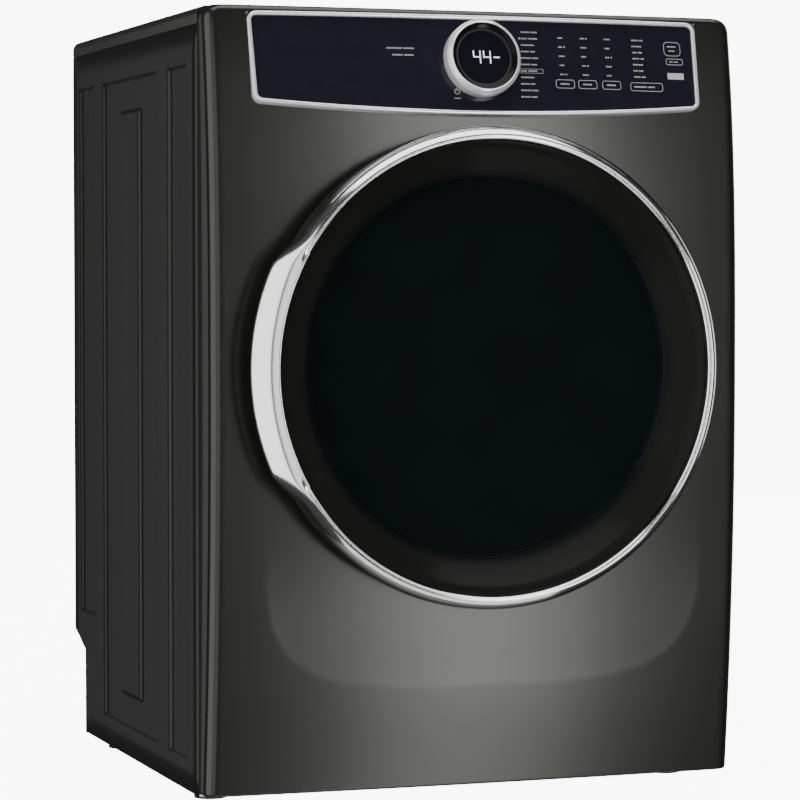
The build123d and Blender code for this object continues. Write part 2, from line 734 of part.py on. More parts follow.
with BuildPart() as drum_shell:
    tube_along_y(0, DRUM_Z, DRUM_RADIUS, DRUM_RADIUS - SHEET, DRUM_FRONT, DRUM_BACK)
    tube_along_y(0, DRUM_Z, DRUM_RADIUS, RIM_RADIUS, DRUM_FRONT, DRUM_FRONT + SHEET)
    tube_along_y(0, DRUM_Z, RIM_RADIUS + SHEET, RIM_RADIUS, DRUM_FRONT, DRUM_FRONT + RIM_LENGTH)
    tube_along_y(0, DRUM_Z, DRUM_RADIUS, 0, DRUM_BACK, DRUM_BACK + SHEET)
    with BuildSketch(plane_at_y(DRUM_BACK - CUT, 0, DRUM_Z)):
        for hole_ring in AIR_HOLE_RINGS:
            with PolarLocations(hole_ring, AIR_HOLE_COUNT):
                Circle(AIR_HOLE_RADIUS)
    extrude(amount=2 * CUT, mode=Mode.SUBTRACT)
save(drum_shell, "drum_shell")

with BuildPart() as drum_baffles:
    for baffle_angle in BAFFLE_ANGLES:
        across, up = cos(radians(baffle_angle)), sin(radians(baffle_angle))
        baffle_plane = Plane(
            origin=(BAFFLE_BASE * across, BAFFLE_FRONT, DRUM_Z + BAFFLE_BASE * up),
            x_dir=(-up, 0, across),
            z_dir=(0, -1, 0),
        )
        with BuildSketch(baffle_plane):
            Polygon(*BAFFLE_OUTER, align=None)
        extrude(amount=-BAFFLE_LENGTH)
        with BuildSketch(baffle_plane.offset(-BAFFLE_WALL)):
            Polygon(*BAFFLE_INNER, align=None)
        extrude(amount=-(BAFFLE_LENGTH - 2 * BAFFLE_WALL), mode=Mode.SUBTRACT)
save(drum_baffles, "drum_baffles")

with BuildPart() as drum_shaft:
    flange_radius, flange_thick = SHAFT_FLANGE
    flange_start = DRUM_BACK + SHEET
    shaft_start = flange_start + flange_thick
    tube_along_y(0, DRUM_Z, flange_radius, 0, flange_start, shaft_start)
    tube_along_y(0, DRUM_Z, SHAFT_RADIUS, 0, shaft_start, REAR_BULKHEAD_Y + SHAFT_REACH)
save(drum_shaft, "drum_shaft")

# ---------------------------------------------------------------- console

DIAL_SECTION = Plane(origin=CONSOLE_ORIGIN, x_dir=(1, 0, 0), z_dir=(0, -TILT_SIN, -TILT_COS))
DIAL_AXIS = Axis(CONSOLE_ORIGIN, (0, -TILT_COS, TILT_SIN))


def dial_hole(radius):
    """Cuts a round hole through the console on the dial's axis."""
    with BuildSketch(CONSOLE_PLANE) as hole:
        Circle(radius)
    extrude(hole.sketch, amount=CONSOLE_CUT, both=True, mode=Mode.SUBTRACT)


with BuildPart() as console_rim:
    console_slab(-RIM_PROUD, RIM_DEPTH, 0)
    console_slab(-2 * RIM_DEPTH, 2 * RIM_DEPTH, TRIM_WIDTH, Mode.SUBTRACT)
save(console_rim, "console_rim")

with BuildPart() as console_face:
    console_slab(GAP, GAP + FACE_THICK, TRIM_WIDTH + FINE_GAP)
    dial_hole(DIAL_RADIUS + DIAL_GAP)
save(console_face, "console_face")

with BuildPart() as console_backer:
    backer_front = GAP + FACE_THICK + FINE_GAP
    console_slab(backer_front, BACKER_BACK, TRIM_WIDTH + FINE_GAP)
    console_slab(backer_front + BACKER_WALL, 2 * BACKER_BACK, TRIM_WIDTH + FACE_THICK, Mode.SUBTRACT)
    dial_hole(DIAL_RADIUS + DIAL_GAP + BACKER_HOLE_MARGIN)
save(console_backer, "console_backer")

with BuildPart() as control_board:
    with BuildSketch(CONSOLE_PLANE.offset(-BOARD_BEHIND)):
        with Locations((BOARD_X, 0)):
            Rectangle(*BOARD_SIZE)
    extrude(amount=-BOARD_THICK)
    with BuildSketch(CONSOLE_PLANE.offset(-BOARD_BEHIND - BOARD_THICK)):
        with Locations((BOARD_X, 0)):
            with GridLocations(*CHIP_PITCH, *CHIP_ROWS):
                Rectangle(*CHIP_SIZE)
    extrude(amount=-CHIP_HEIGHT)
save(control_board, "control_board")

with BuildPart() as program_dial:
    ring_of(DIAL_PROFILE, DIAL_SECTION, DIAL_AXIS)
save(program_dial, "program_dial")

with BuildPart() as display_housing:
    ring_of(DISPLAY_CUP, DIAL_SECTION, DIAL_AXIS)
save(display_housing, "display_housing")

with BuildPart() as display_lens:
    ring_of(LENS_PROFILE, DIAL_SECTION, DIAL_AXIS)
save(display_lens, "display_lens")

# ---------------------------------------------------------------- door

ARM_LEVELS = (DOOR_Z - ARM_OFFSET, DOOR_Z + ARM_OFFSET)
END_LEVELS = (DOOR_Z - END_KNUCKLE_OFFSET, DOOR_Z + END_KNUCKLE_OFFSET)
MOVING_LEVELS = [(DOOR_Z, MIDDLE_KNUCKLE_HALF)] + [(level, END_KNUCKLE_HALF) for level in END_LEVELS]

with BuildPart() as door_frame:
    ring_of(
        [
            (FRAME_RADIUS, Y_DOOR_BACK),
            (FRAME_RADIUS, FRAME_LIP_Y),
            (FRAME_RADIUS - FRAME_WALL, FRAME_LIP_Y),
            (FRAME_RADIUS - FRAME_WALL, Y_DOOR_BACK - FRAME_WALL),
            (FRAME_INNER_RADIUS, Y_DOOR_BACK - FRAME_WALL),
            (FRAME_INNER_RADIUS, Y_DOOR_BACK),
        ],
        DOOR_PLANE,
        DOOR_AXIS,
    )
    (notch_in, notch_front), (notch_out, notch_back) = FRAME_NOTCH
    for level in ARM_LEVELS:
        box_between(
            (notch_in, notch_front, level - ARM_HALF - 4 * GAP),
            (notch_out, notch_back, level + ARM_HALF + 4 * GAP),
            Mode.SUBTRACT,
        )
save(door_frame, "door_frame")


def polar(radius, angle):
    """A point on the door's face, at that angle from its centre, measured from the right."""
    return (radius * cos(radians(angle)), radius * sin(radians(angle)))


def grip_outline():
    """The grip's outline at the left of the door, which blends into the round ring."""
    with BuildSketch(front_plane(RING_BACK_Y, 0, DOOR_Z)) as outline:
        with BuildLine():
            start, sweep_angle = 180 - HANDLE_HALF_ANGLE, 2 * HANDLE_HALF_ANGLE
            outside = CenterArc((0, 0), HANDLE_RADIUS, start, sweep_angle)
            start, sweep_angle = 180 - HANDLE_BLEND_ANGLE, 2 * HANDLE_BLEND_ANGLE
            inside = CenterArc((0, 0), HANDLE_INNER_RADIUS, start, sweep_angle)
            shoulder_low = polar(RING_RADIUS - SHOULDER_INSET, 180 + HANDLE_BLEND_ANGLE)
            shoulder_top = polar(RING_RADIUS - SHOULDER_INSET, 180 - HANDLE_BLEND_ANGLE)
            Polyline(outside @ 1, shoulder_low, inside @ 1)
            Polyline(outside @ 0, shoulder_top, inside @ 0)
        make_face()
    return outline.sketch


with BuildPart() as door_trim_ring:
    ring_of(RING_PROFILE, DOOR_PLANE, DOOR_AXIS)
    extrude(grip_outline(), amount=HANDLE_THICK, taper=HANDLE_TAPER)
    tube_along_y(0, DOOR_Z, DISC_RADIUS, 0, Y_CREST - CUT, Y_DOOR_BACK, Mode.SUBTRACT)
    ring_of(RING_HOLLOW, DOOR_PLANE, DOOR_AXIS, Mode.SUBTRACT)
save(door_trim_ring, "door_trim_ring")

with BuildPart() as door_bezel:
    ring_of(
        [
            (BEZEL_RADIUS, Y_DISC),
            (WINDOW_RADIUS, Y_WINDOW - BEZEL_STEP),
            (WINDOW_RADIUS, Y_WINDOW + BEZEL_DEPTH),
            (WINDOW_RADIUS + BEZEL_WALL, Y_WINDOW + BEZEL_DEPTH),
            (BEZEL_RADIUS, Y_DISC + FACE_THICK),
        ],
        DOOR_PLANE,
        DOOR_AXIS,
    )
save(door_bezel, "door_bezel")

with BuildPart() as door_window:
    tube_along_y(0, DOOR_Z, WINDOW_RADIUS - GAP, 0, Y_WINDOW - GAP, Y_WINDOW - GAP + WINDOW_THICK)
save(door_window, "door_window")

with BuildPart() as door_liner:
    ring_of(LINER_PROFILE, DOOR_PLANE, DOOR_AXIS)
save(door_liner, "door_liner")

with BuildPart() as door_inner_glass:
    tube_along_y(0, DOOR_Z, INNER_GLASS_RADIUS, 0, *INNER_GLASS_Y)
save(door_inner_glass, "door_inner_glass")

with BuildPart() as door_seal:
    ring_of(SEAL_PROFILE, DOOR_PLANE, DOOR_AXIS)
save(door_seal, "door_seal")


def box_about_door(x_span, y_span, half_height, mode=Mode.ADD):
    """A box level with the middle of the door."""
    low = (x_span[0], y_span[0], DOOR_Z - half_height)
    high = (x_span[1], y_span[1], DOOR_Z + half_height)
    box_between(low, high, mode)


with BuildPart() as door_strike:
    box_about_door(STRIKE_PLATE_X, (LINER_Y, STRIKE_ROOT_Y), STRIKE_PLATE_HALF)
    box_about_door(STRIKE_X, (STRIKE_ROOT_Y, STRIKE_TIP_Y), STRIKE_HALF)
    box_about_door(STRIKE_X, STRIKE_SLOT_Y, STRIKE_HALF / 2, Mode.SUBTRACT)
save(door_strike, "door_strike")

with BuildPart() as door_catch:
    box_about_door(CATCH_X, CATCH_Y, CATCH_HALF)
    box_about_door(CATCH_SLOT_X, CATCH_SLOT_Y, CATCH_SLOT_HALF, Mode.SUBTRACT)
save(door_catch, "door_catch")


def knuckle(level, half_height, bore):
    """One barrel of the door hinge."""
    with BuildSketch(Plane.XY.offset(level - half_height)) as section:
        with Locations((HINGE_X, HINGE_Y)):
            Circle(KNUCKLE_RADIUS)
            Circle(bore, mode=Mode.SUBTRACT)
    extrude(section.sketch, amount=2 * half_height)


def strap(level, half_height, end):
    """A straight strap from one barrel to its leaf."""
    with BuildSketch(Plane.XY.offset(level - half_height)) as section:
        with BuildLine() as run:
            Line((HINGE_X, HINGE_Y), end)
        trace(run.line, line_width=ARM_WIDTH)
        with Locations((HINGE_X, HINGE_Y)):
            Circle(KNUCKLE_RADIUS - GAP, mode=Mode.SUBTRACT)
    extrude(section.sketch, amount=2 * half_height)


def leaf(x_span, y_span, level, half_height):
    """A flat piece of a hinge leaf."""
    low = (x_span[0], y_span[0], level - half_height)
    high = (x_span[1], y_span[1], level + half_height)
    box_between(low, high)


with BuildPart() as hinge_fixed_leaf:
    for level in ARM_LEVELS:
        knuckle(level, ARM_HALF, PIN_RADIUS)
        strap(level, ARM_HALF, FIXED_ARM_END)
    leaf(FIXED_LEAF_X, FIXED_LEAF_Y, DOOR_Z, FIXED_LEAF_HALF)
save(hinge_fixed_leaf, "hinge_fixed_leaf")

with BuildPart() as hinge_moving_leaf:
    for level, half_height in MOVING_LEVELS:
        knuckle(level, half_height, PIN_RADIUS + PIN_FIT)
        strap(level, half_height, MOVING_ARM_END)
        leaf(MOVING_LEAF_X, MOVING_LEAF_Y, level, half_height)
save(hinge_moving_leaf, "hinge_moving_leaf")

with BuildPart() as hinge_pin:
    with BuildSketch(Plane.XY.offset(DOOR_Z - PIN_HALF)):
        with Locations((HINGE_X, HINGE_Y)):
            Circle(PIN_RADIUS)
    extrude(amount=2 * PIN_HALF)
save(hinge_pin, "hinge_pin")

with BuildPart() as door_switch:
    half_wide, half_tall = SWITCH_HALF
    switch_front, switch_back = SWITCH_Y
    box_between(
        (SWITCH_X - half_wide, switch_front, SWITCH_Z - half_tall),
        (SWITCH_X + half_wide, switch_back, SWITCH_Z + half_tall),
    )
    plunger_bore = PLUNGER_RADIUS + RUNNING_FIT
    tube_along_y(SWITCH_X, SWITCH_Z, plunger_bore, 0, switch_front, SWITCH_BORE_END, Mode.SUBTRACT)
save(door_switch, "door_switch")

with BuildPart() as door_switch_plunger:
    tube_along_y(SWITCH_X, SWITCH_Z, PLUNGER_RADIUS, 0, Y_DOOR_BACK + PLUNGER_GAP, PLUNGER_END_Y)
save(door_switch_plunger, "door_switch_plunger")

# ---------------------------------------------------------------- airway


def blower_block(inset, front, back, mode=Mode.ADD):
    """The blower's scroll and outlet chamber as a block, smaller all round by inset."""
    left, right, low, top = CHAMBER
    tube_along_y(MOTOR_X, MOTOR_Z, BLOWER_RADIUS - inset, 0, front, back, mode)
    box_between((left + inset, front, low + inset), (right, back, top - inset), mode)


def duct_block(outline, inset, top_inset, mode=Mode.ADD):
    """One leg of the flat duct in front of the blower, smaller all round by inset."""
    left, low, right, top = outline
    front, back = DUCT_Y
    box_between(
        (left + inset, front + inset, low + inset),
        (right - inset, back - inset, top - top_inset),
        mode,
    )


with BuildPart() as lint_duct:
    duct_block(DUCT_RISER, 0, 0)
    duct_block(DUCT_BASE, 0, 0)
    blower_block(0, DUCT_Y[1] - DUCT_WALL, BLOWER_FRONT - FINE_GAP)
    duct_block(DUCT_RISER, DUCT_WALL, -DUCT_WALL / 2, Mode.SUBTRACT)
    duct_block(DUCT_BASE, DUCT_WALL, DUCT_WALL, Mode.SUBTRACT)
    tube_along_y(MOTOR_X, MOTOR_Z, BLOWER_INLET, 0, DUCT_Y[1] - CUT, BLOWER_FRONT, Mode.SUBTRACT)
save(lint_duct, "lint_duct")

FRAME_TOP = FILTER_TOP - FILTER_HEAD
FRAME_HALF_DEPTH = GRIP_HALF_DEPTH + 2 * GAP
PANE_LOW = FILTER_LOW + FILTER_BORDER
PANE_TOP = FRAME_TOP - FILTER_TOP_BAR
PANE_WIDTH = FILTER_HALF - FILTER_BORDER - FILTER_BAR
PANE_X = FILTER_BAR + PANE_WIDTH / 2


def filter_pane(pane_x, inset, half_depth, mode=Mode.ADD):
    """A flat block in one of the lint filter's two windows."""
    half_wide = PANE_WIDTH / 2 - inset
    box_between(
        (pane_x - half_wide, FILTER_Y - half_depth, PANE_LOW + inset),
        (pane_x + half_wide, FILTER_Y + half_depth, PANE_TOP - inset),
        mode,
    )


with BuildPart() as lint_filter_frame:
    box_between(
        (-FILTER_HALF, FILTER_Y - FRAME_HALF_DEPTH, FILTER_LOW),
        (FILTER_HALF, FILTER_Y + FRAME_HALF_DEPTH, FRAME_TOP),
    )
    for pane_x in (-PANE_X, PANE_X):
        filter_pane(pane_x, 0, CUT, Mode.SUBTRACT)
    box_between(
        (-GRIP_HALF_WIDTH, FILTER_Y - GRIP_HALF_DEPTH, FRAME_TOP),
        (GRIP_HALF_WIDTH, FILTER_Y + GRIP_HALF_DEPTH, FILTER_TOP),
    )
save(lint_filter_frame, "lint_filter_frame")

with BuildPart() as lint_filter_screen:
    for pane_x in (-PANE_X, PANE_X):
        filter_pane(pane_x, FINE_GAP, SCREEN_THICK / 2)
save(lint_filter_screen, "lint_filter_screen")

with BuildPart() as blower_housing:
    back_start, back_end = BLOWER_BACK - CUT, BLOWER_BACK + CUT
    blower_block(0, BLOWER_FRONT, BLOWER_BACK)
    blower_block(BLOWER_WALL, BLOWER_FRONT, BLOWER_BACK - BLOWER_WALL, Mode.SUBTRACT)
    tube_along_y(0, OUTLET_Z, OUTLET_RADIUS - 2 * GAP, 0, back_start, back_end, Mode.SUBTRACT)
    shaft_hole = ROTOR_SHAFT_RADIUS + FACE_THICK
    tube_along_y(MOTOR_X, MOTOR_Z, shaft_hole, 0, back_start, back_end, Mode.SUBTRACT)
save(blower_housing, "blower_housing")

with BuildPart() as blower_wheel:
    plate_front = WHEEL_BACK - WHEEL_PLATE
    ring_back = WHEEL_FRONT + WHEEL_PLATE
    tube_along_y(MOTOR_X, MOTOR_Z, WHEEL_RADIUS, ROTOR_SHAFT_RADIUS, plate_front, WHEEL_BACK)
    tube_along_y(MOTOR_X, MOTOR_Z, WHEEL_HUB, ROTOR_SHAFT_RADIUS, WHEEL_BACK - WHEEL_HUB_LENGTH, WHEEL_BACK)
    tube_along_y(MOTOR_X, MOTOR_Z, WHEEL_RADIUS, WHEEL_RADIUS - WHEEL_RIM, WHEEL_FRONT, ring_back)
    with BuildSketch(plane_at_y(ring_back, MOTOR_X, MOTOR_Z)):
        with PolarLocations(VANE_RING, VANE_COUNT):
            Rectangle(*VANE_SIZE, rotation=VANE_PITCH_ANGLE)
    extrude(amount=plate_front - ring_back)
save(blower_wheel, "blower_wheel")

with BuildPart() as exhaust_duct:
    stub_start = Y_OUTLET - STUB_LENGTH
    tube_along_y(0, OUTLET_Z, DUCT_RADIUS, DUCT_BORE, BLOWER_BACK, stub_start)
    tube_along_y(0, OUTLET_Z, OUTLET_RADIUS, DUCT_BORE, stub_start, Y_OUTLET)
save(exhaust_duct, "exhaust_duct")

with BuildPart() as heater_housing:
    heater_cap = HEATER_BACK + SHEET
    tube_along_y(0, DRUM_Z, HEATER_OUTER, HEATER_OUTER - SHEET, HEATER_FRONT, HEATER_BACK)
    tube_along_y(0, DRUM_Z, HEATER_INNER + SHEET, HEATER_INNER, HEATER_FRONT, HEATER_BACK)
    tube_along_y(0, DRUM_Z, HEATER_OUTER, HEATER_INNER, HEATER_BACK, heater_cap)
    vent_ring = (HEATER_OUTER + HEATER_INNER) / 2
    with BuildSketch(plane_at_y(HEATER_BACK - CUT, 0, DRUM_Z)):
        with PolarLocations(vent_ring, HEATER_VENT_COUNT, start_angle=180 / HEATER_VENT_COUNT):
            SlotOverall(*HEATER_VENT)
    extrude(amount=2 * CUT, mode=Mode.SUBTRACT)
save(heater_housing, "heater_housing")

with BuildPart() as heater_coil:
    for coil_radius in COIL_RADII:
        with BuildSketch(DRUM_PLANE) as wire:
            with Locations((coil_radius, COIL_Y)):
                Circle(COIL_WIRE_RADIUS)
        revolve(wire.sketch, axis=DRUM_AXIS)
save(heater_coil, "heater_coil")

with BuildPart() as terminal_block:
    half_wide, half_tall = TERMINAL_HALF
    block_front, block_back = TERMINAL_Y
    box_between(
        (TERMINAL_X - half_wide, block_front, TERMINAL_Z - half_tall),
        (TERMINAL_X + half_wide, block_back, TERMINAL_Z + half_tall),
    )
    for slot_x in (TERMINAL_X - TERMINAL_SLOT_X, TERMINAL_X + TERMINAL_SLOT_X):
        box_between(
            (slot_x - TERMINAL_SLOT_HALF, block_back - TERMINAL_SLOT_DEPTH, TERMINAL_Z - half_tall),
            (slot_x + TERMINAL_SLOT_HALF, block_back, TERMINAL_Z + half_tall),
            Mode.SUBTRACT,
        )
save(terminal_block, "terminal_block")

# ---------------------------------------------------------------- motor, belt and idler

with BuildPart() as motor_housing:
    motor_bore = ROTOR_SHAFT_RADIUS + RUNNING_FIT
    tube_along_y(MOTOR_X, MOTOR_Z, MOTOR_RADIUS, MOTOR_RADIUS - MOTOR_WALL, MOTOR_FRONT, MOTOR_BACK)
    for end_y, outward in ((MOTOR_FRONT, -1), (MOTOR_BACK, 1)):
        face_y = end_y + outward * MOTOR_END
        tube_along_y(MOTOR_X, MOTOR_Z, MOTOR_RADIUS, motor_bore, end_y, face_y)
        tube_along_y(MOTOR_X, MOTOR_Z, BOSS_RADIUS, motor_bore, face_y, face_y + outward * BOSS_LENGTH)
save(motor_housing, "motor_housing")

with BuildPart() as motor_rotor_shaft:
    tube_along_y(MOTOR_X, MOTOR_Z, ROTOR_SHAFT_RADIUS, 0, SHAFT_FRONT, BELT_Y + SHAFT_PAST_BELT)
    tube_along_y(MOTOR_X, MOTOR_Z, ROTOR_RADIUS, 0, *ROTOR_SPAN)
    tube_along_y(MOTOR_X, MOTOR_Z, PULLEY_RADIUS, 0, BELT_Y - PULLEY_HALF, BELT_Y + PULLEY_HALF)
    for flange_y in (BELT_Y - PULLEY_HALF, BELT_Y + PULLEY_HALF - PULLEY_FLANGE_THICK):
        flange_end = flange_y + PULLEY_FLANGE_THICK
        tube_along_y(MOTOR_X, MOTOR_Z, PULLEY_RADIUS + PULLEY_FLANGE, 0, flange_y, flange_end)
save(motor_rotor_shaft, "motor_rotor_shaft")

with BuildPart() as motor_mount:
    mount_front, mount_back = MOUNT_Y
    plate_top = PAN_FLOOR + MOUNT_SHEET
    box_between(
        (MOTOR_X - MOUNT_HALF, mount_front, PAN_FLOOR),
        (MOTOR_X + MOUNT_HALF, mount_back, plate_top),
    )
    for saddle_y in SADDLE_STARTS:
        box_between(
            (MOTOR_X - SADDLE_HALF, saddle_y, plate_top),
            (MOTOR_X + SADDLE_HALF, saddle_y + SADDLE_THICK, SADDLE_TOP),
        )
    tube_along_y(MOTOR_X, MOTOR_Z, MOTOR_RADIUS + SADDLE_FIT, 0, mount_front, mount_back, Mode.SUBTRACT)
save(motor_mount, "motor_mount")


def belt_headings(wheels):
    """The direction of each straight run of the belt, from one wheel to the next."""
    headings = []
    for (x, z, reach), (next_x, next_z, next_reach) in zip(wheels, wheels[1:] + wheels[:1]):
        step = next_reach - reach
        run = sqrt((next_x - x) ** 2 + (next_z - z) ** 2 - step ** 2)
        headings.append(atan2(next_z - z, next_x - x) - atan2(step, run))
    return headings


def belt_loop(growth):
    """The belt's closed outline round drum, motor pulley and idler, grown outward by growth."""
    wheels = (
        (0, DRUM_Z, DRUM_RADIUS + BELT_CLEARANCE + growth),
        (MOTOR_X, MOTOR_Z, PULLEY_RADIUS + BELT_CLEARANCE + growth),
        (IDLER_X, IDLER_Z, -(IDLER_RADIUS + BELT_CLEARANCE + BELT_THICK - growth)),
    )
    headings = belt_headings(wheels)
    corners = []
    for index, (x, z, reach) in enumerate(wheels):
        enter, leave = headings[index - 1], headings[index]
        turn = (leave - enter) % (2 * pi) if reach > 0 else -((enter - leave) % (2 * pi))
        arc = [(x + reach * sin(a), z - reach * cos(a)) for a in (enter, enter + turn / 2, enter + turn)]
        corners.append(arc)
    with BuildSketch(front_plane(BELT_Y + BELT_WIDTH / 2)) as outline:
        with BuildLine():
            for arc, next_arc in zip(corners, corners[1:] + corners[:1]):
                ThreePointArc(*arc)
                Line(arc[-1], next_arc[0])
        make_face()
    return outline.sketch


with BuildPart() as drive_belt:
    extrude(belt_loop(BELT_THICK), amount=BELT_WIDTH)
    extrude(belt_loop(0), amount=BELT_WIDTH, mode=Mode.SUBTRACT)
save(drive_belt, "drive_belt")

AXLE_BORE = AXLE_RADIUS + RUNNING_FIT

with BuildPart() as idler_wheel:
    tube_along_y(IDLER_X, IDLER_Z, IDLER_RADIUS, AXLE_BORE, BELT_Y - IDLER_HALF, BELT_Y + IDLER_HALF)
    for flange_y in (BELT_Y - IDLER_HALF, BELT_Y + IDLER_HALF - IDLER_FLANGE_THICK):
        flange_end = flange_y + IDLER_FLANGE_THICK
        tube_along_y(IDLER_X, IDLER_Z, IDLER_RADIUS + IDLER_FLANGE, AXLE_BORE, flange_y, flange_end)
save(idler_wheel, "idler_wheel")

with BuildPart() as idler_arm:
    head_radius, head_thick = AXLE_HEAD
    axle_start = BELT_Y - IDLER_HALF - AXLE_PAST_WHEEL
    tube_along_y(IDLER_X, IDLER_Z, AXLE_RADIUS, 0, axle_start, ARM_Y)
    tube_along_y(IDLER_X, IDLER_Z, head_radius, 0, axle_start, axle_start + head_thick)
    with BuildSketch(front_plane(ARM_Y)):
        with BuildLine() as arm_line:
            Line((IDLER_X, IDLER_Z), (ARM_PIVOT_X, ARM_PIVOT_Z))
        trace(arm_line.line, line_width=ARM_STRIP)
        with Locations((IDLER_X, IDLER_Z), (ARM_PIVOT_X, ARM_PIVOT_Z)):
            Circle(ARM_HUB_RADIUS)
    extrude(amount=-ARM_THICK)
    tube_along_y(ARM_PIVOT_X, ARM_PIVOT_Z, AXLE_BORE, 0, ARM_Y - CUT, ARM_Y + CUT, Mode.SUBTRACT)
    tube_along_y(SPRING_X, SPRING_Z, PEG_RADIUS, 0, SPRING_Y - PEG_REACH, ARM_Y)
save(idler_arm, "idler_arm")

with BuildPart() as idler_bracket:
    left_reach, right_reach = BRACKET_FOOT_X
    front_reach, back_reach = BRACKET_FOOT_Y
    upright_y = ARM_Y + BRACKET_BEHIND
    box_between(
        (ARM_PIVOT_X - left_reach, ARM_Y - front_reach, PAN_FLOOR),
        (ARM_PIVOT_X + right_reach, ARM_Y + back_reach, PAN_FLOOR + BRACKET_SHEET),
    )
    box_between(
        (ARM_PIVOT_X - BRACKET_HALF, upright_y, PAN_FLOOR),
        (ARM_PIVOT_X + BRACKET_HALF, upright_y + BRACKET_SHEET, ARM_PIVOT_Z + BRACKET_HALF),
    )
    for post_radius, post_start in ((AXLE_RADIUS, ARM_Y - POST_REACH), (COLLAR_POST, ARM_Y + POST_REACH)):
        tube_along_y(ARM_PIVOT_X, ARM_PIVOT_Z, post_radius, 0, post_start, upright_y + 2 * GAP)
    box_between(
        (SPRING_X - TAB_HALF, SPRING_Y + TAB_BEHIND, PAN_FLOOR),
        (SPRING_X + TAB_HALF, SPRING_Y + TAB_BEHIND + BRACKET_SHEET, SPRING_LOW - TAB_BELOW),
    )
    tube_along_y(
        SPRING_X, SPRING_LOW - HOOK_DROP, PEG_RADIUS, 0, SPRING_Y - PEG_REACH, SPRING_Y + PEG_REACH
    )
save(idler_bracket, "idler_bracket")

with BuildPart() as idler_spring:
    spring_height = SPRING_TOP - SPRING_LOW
    coil_base = (SPRING_X, SPRING_Y, SPRING_LOW)
    wire_start = (SPRING_X + SPRING_RADIUS, SPRING_Y, SPRING_LOW)
    with BuildLine():
        Helix(spring_height / SPRING_TURNS, spring_height, SPRING_RADIUS, center=coil_base)
    with BuildSketch(Plane(origin=wire_start, z_dir=(0, 1, 0))):
        Circle(WIRE_RADIUS)
    sweep(is_frenet=True)
    for loop_z, lift in ((SPRING_LOW - HOOK_DROP, 1), (SPRING_Z, -1)):
        with BuildSketch(front_plane(SPRING_Y + WIRE_RADIUS, SPRING_X, loop_z)):
            Circle(HOOK_RADIUS)
            Circle(HOOK_RADIUS - 2 * WIRE_RADIUS, mode=Mode.SUBTRACT)
        extrude(amount=2 * WIRE_RADIUS)
        stem_z = loop_z + lift * STEM_MIDDLE
        box_between(
            (SPRING_X - WIRE_RADIUS, SPRING_Y - WIRE_RADIUS, stem_z - STEM_HALF),
            (SPRING_X + SPRING_RADIUS, SPRING_Y + WIRE_RADIUS, stem_z + STEM_HALF),
        )
save(idler_spring, "idler_spring")

with BuildPart() as wire_harness:
    with BuildLine():
        FilletPolyline(*HARNESS, radius=HARNESS_BEND)
    with BuildSketch(Plane(origin=HARNESS[0], z_dir=(0, 0, -1))):
        Circle(HARNESS_RADIUS)
    sweep(transition=Transition.ROUND)
save(wire_harness, "wire_harness")
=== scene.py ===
"""The looks of a front-load clothes dryer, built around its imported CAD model.

Shapes are in millimetres. Lights, the camera's place and the materials' grain are in metres.
Angles are given in degrees.
"""

import json
import math

import bpy
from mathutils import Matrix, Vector


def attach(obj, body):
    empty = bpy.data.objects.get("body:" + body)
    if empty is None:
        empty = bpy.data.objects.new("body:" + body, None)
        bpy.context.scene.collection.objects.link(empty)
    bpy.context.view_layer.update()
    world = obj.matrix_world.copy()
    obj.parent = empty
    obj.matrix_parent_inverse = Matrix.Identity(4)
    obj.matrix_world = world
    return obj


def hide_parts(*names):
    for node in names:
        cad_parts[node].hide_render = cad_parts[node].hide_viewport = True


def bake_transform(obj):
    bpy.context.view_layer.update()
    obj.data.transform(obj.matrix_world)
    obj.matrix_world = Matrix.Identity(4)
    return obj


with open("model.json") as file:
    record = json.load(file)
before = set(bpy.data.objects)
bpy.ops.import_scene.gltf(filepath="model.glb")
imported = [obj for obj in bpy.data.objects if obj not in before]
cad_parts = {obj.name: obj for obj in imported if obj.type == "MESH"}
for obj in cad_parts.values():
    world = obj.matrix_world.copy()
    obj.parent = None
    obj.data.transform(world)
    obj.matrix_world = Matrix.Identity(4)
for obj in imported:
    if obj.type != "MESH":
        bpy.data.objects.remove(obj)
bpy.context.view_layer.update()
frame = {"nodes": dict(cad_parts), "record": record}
nodes = frame["nodes"]

MM = 0.001

# Edges sharper than these angles stay crisp
SHARP_PANEL = 60
SHARP_TRIM = 50
SHARP_FACE = 40
SHARP_TURNED = 35

# Cabinet: x is 0 in its middle, y grows towards its back and z is 0 on the floor
HALF = 343
HEIGHT = 965
Y_SEAM = -277
SHEET = 1.2

# Front panel: it stands FACE_MID ahead of the seam at its middle height, and less above and below that.
# Its ends roll back and taper in round these radii.
PANEL_LOW = 18
FACE_LOW_Z = 15
FACE_MID_Z = 500
FACE_MID = 57
FACE_BOTTOM_DROP = 27
FACE_TOP_DROP = 30
FACE_BOW = 8
CORNER = 14
TOP_ROLL = 7
BOTTOM_ROLL = 3
TOP_TAPER = 18
BOTTOM_TAPER = 4

# Rows and columns of the front panel's mesh
CORNER_STEPS = 14
FLANK_STEPS = (0, 0.5, 0.9)
FRONT_COLUMNS = 150
FRONT_ROWS = 240
ROWS_START = 7
ROWS_END = 18
TOP_EDGE_ROWS = (16, 13, 10, 7.5, 5.5, 3.8, 2.4, 1.3, 0.5, 0)
BOTTOM_EDGE_ROWS = (0, 0.4, 1, 2, 3, 4.5)

# Shallow dish round the door: it deepens from its lip and levels out over its run, and fades out upwards
DISH_CENTRE = (8, 330)
DISH_HALF = (284, 188)
DISH_POWER = 4
DISH_SLOPE = 0.037
DISH_RUN = 60
DISH_LIP = 5
DISH_FADE_START = 210
DISH_FADE_RUN = 140

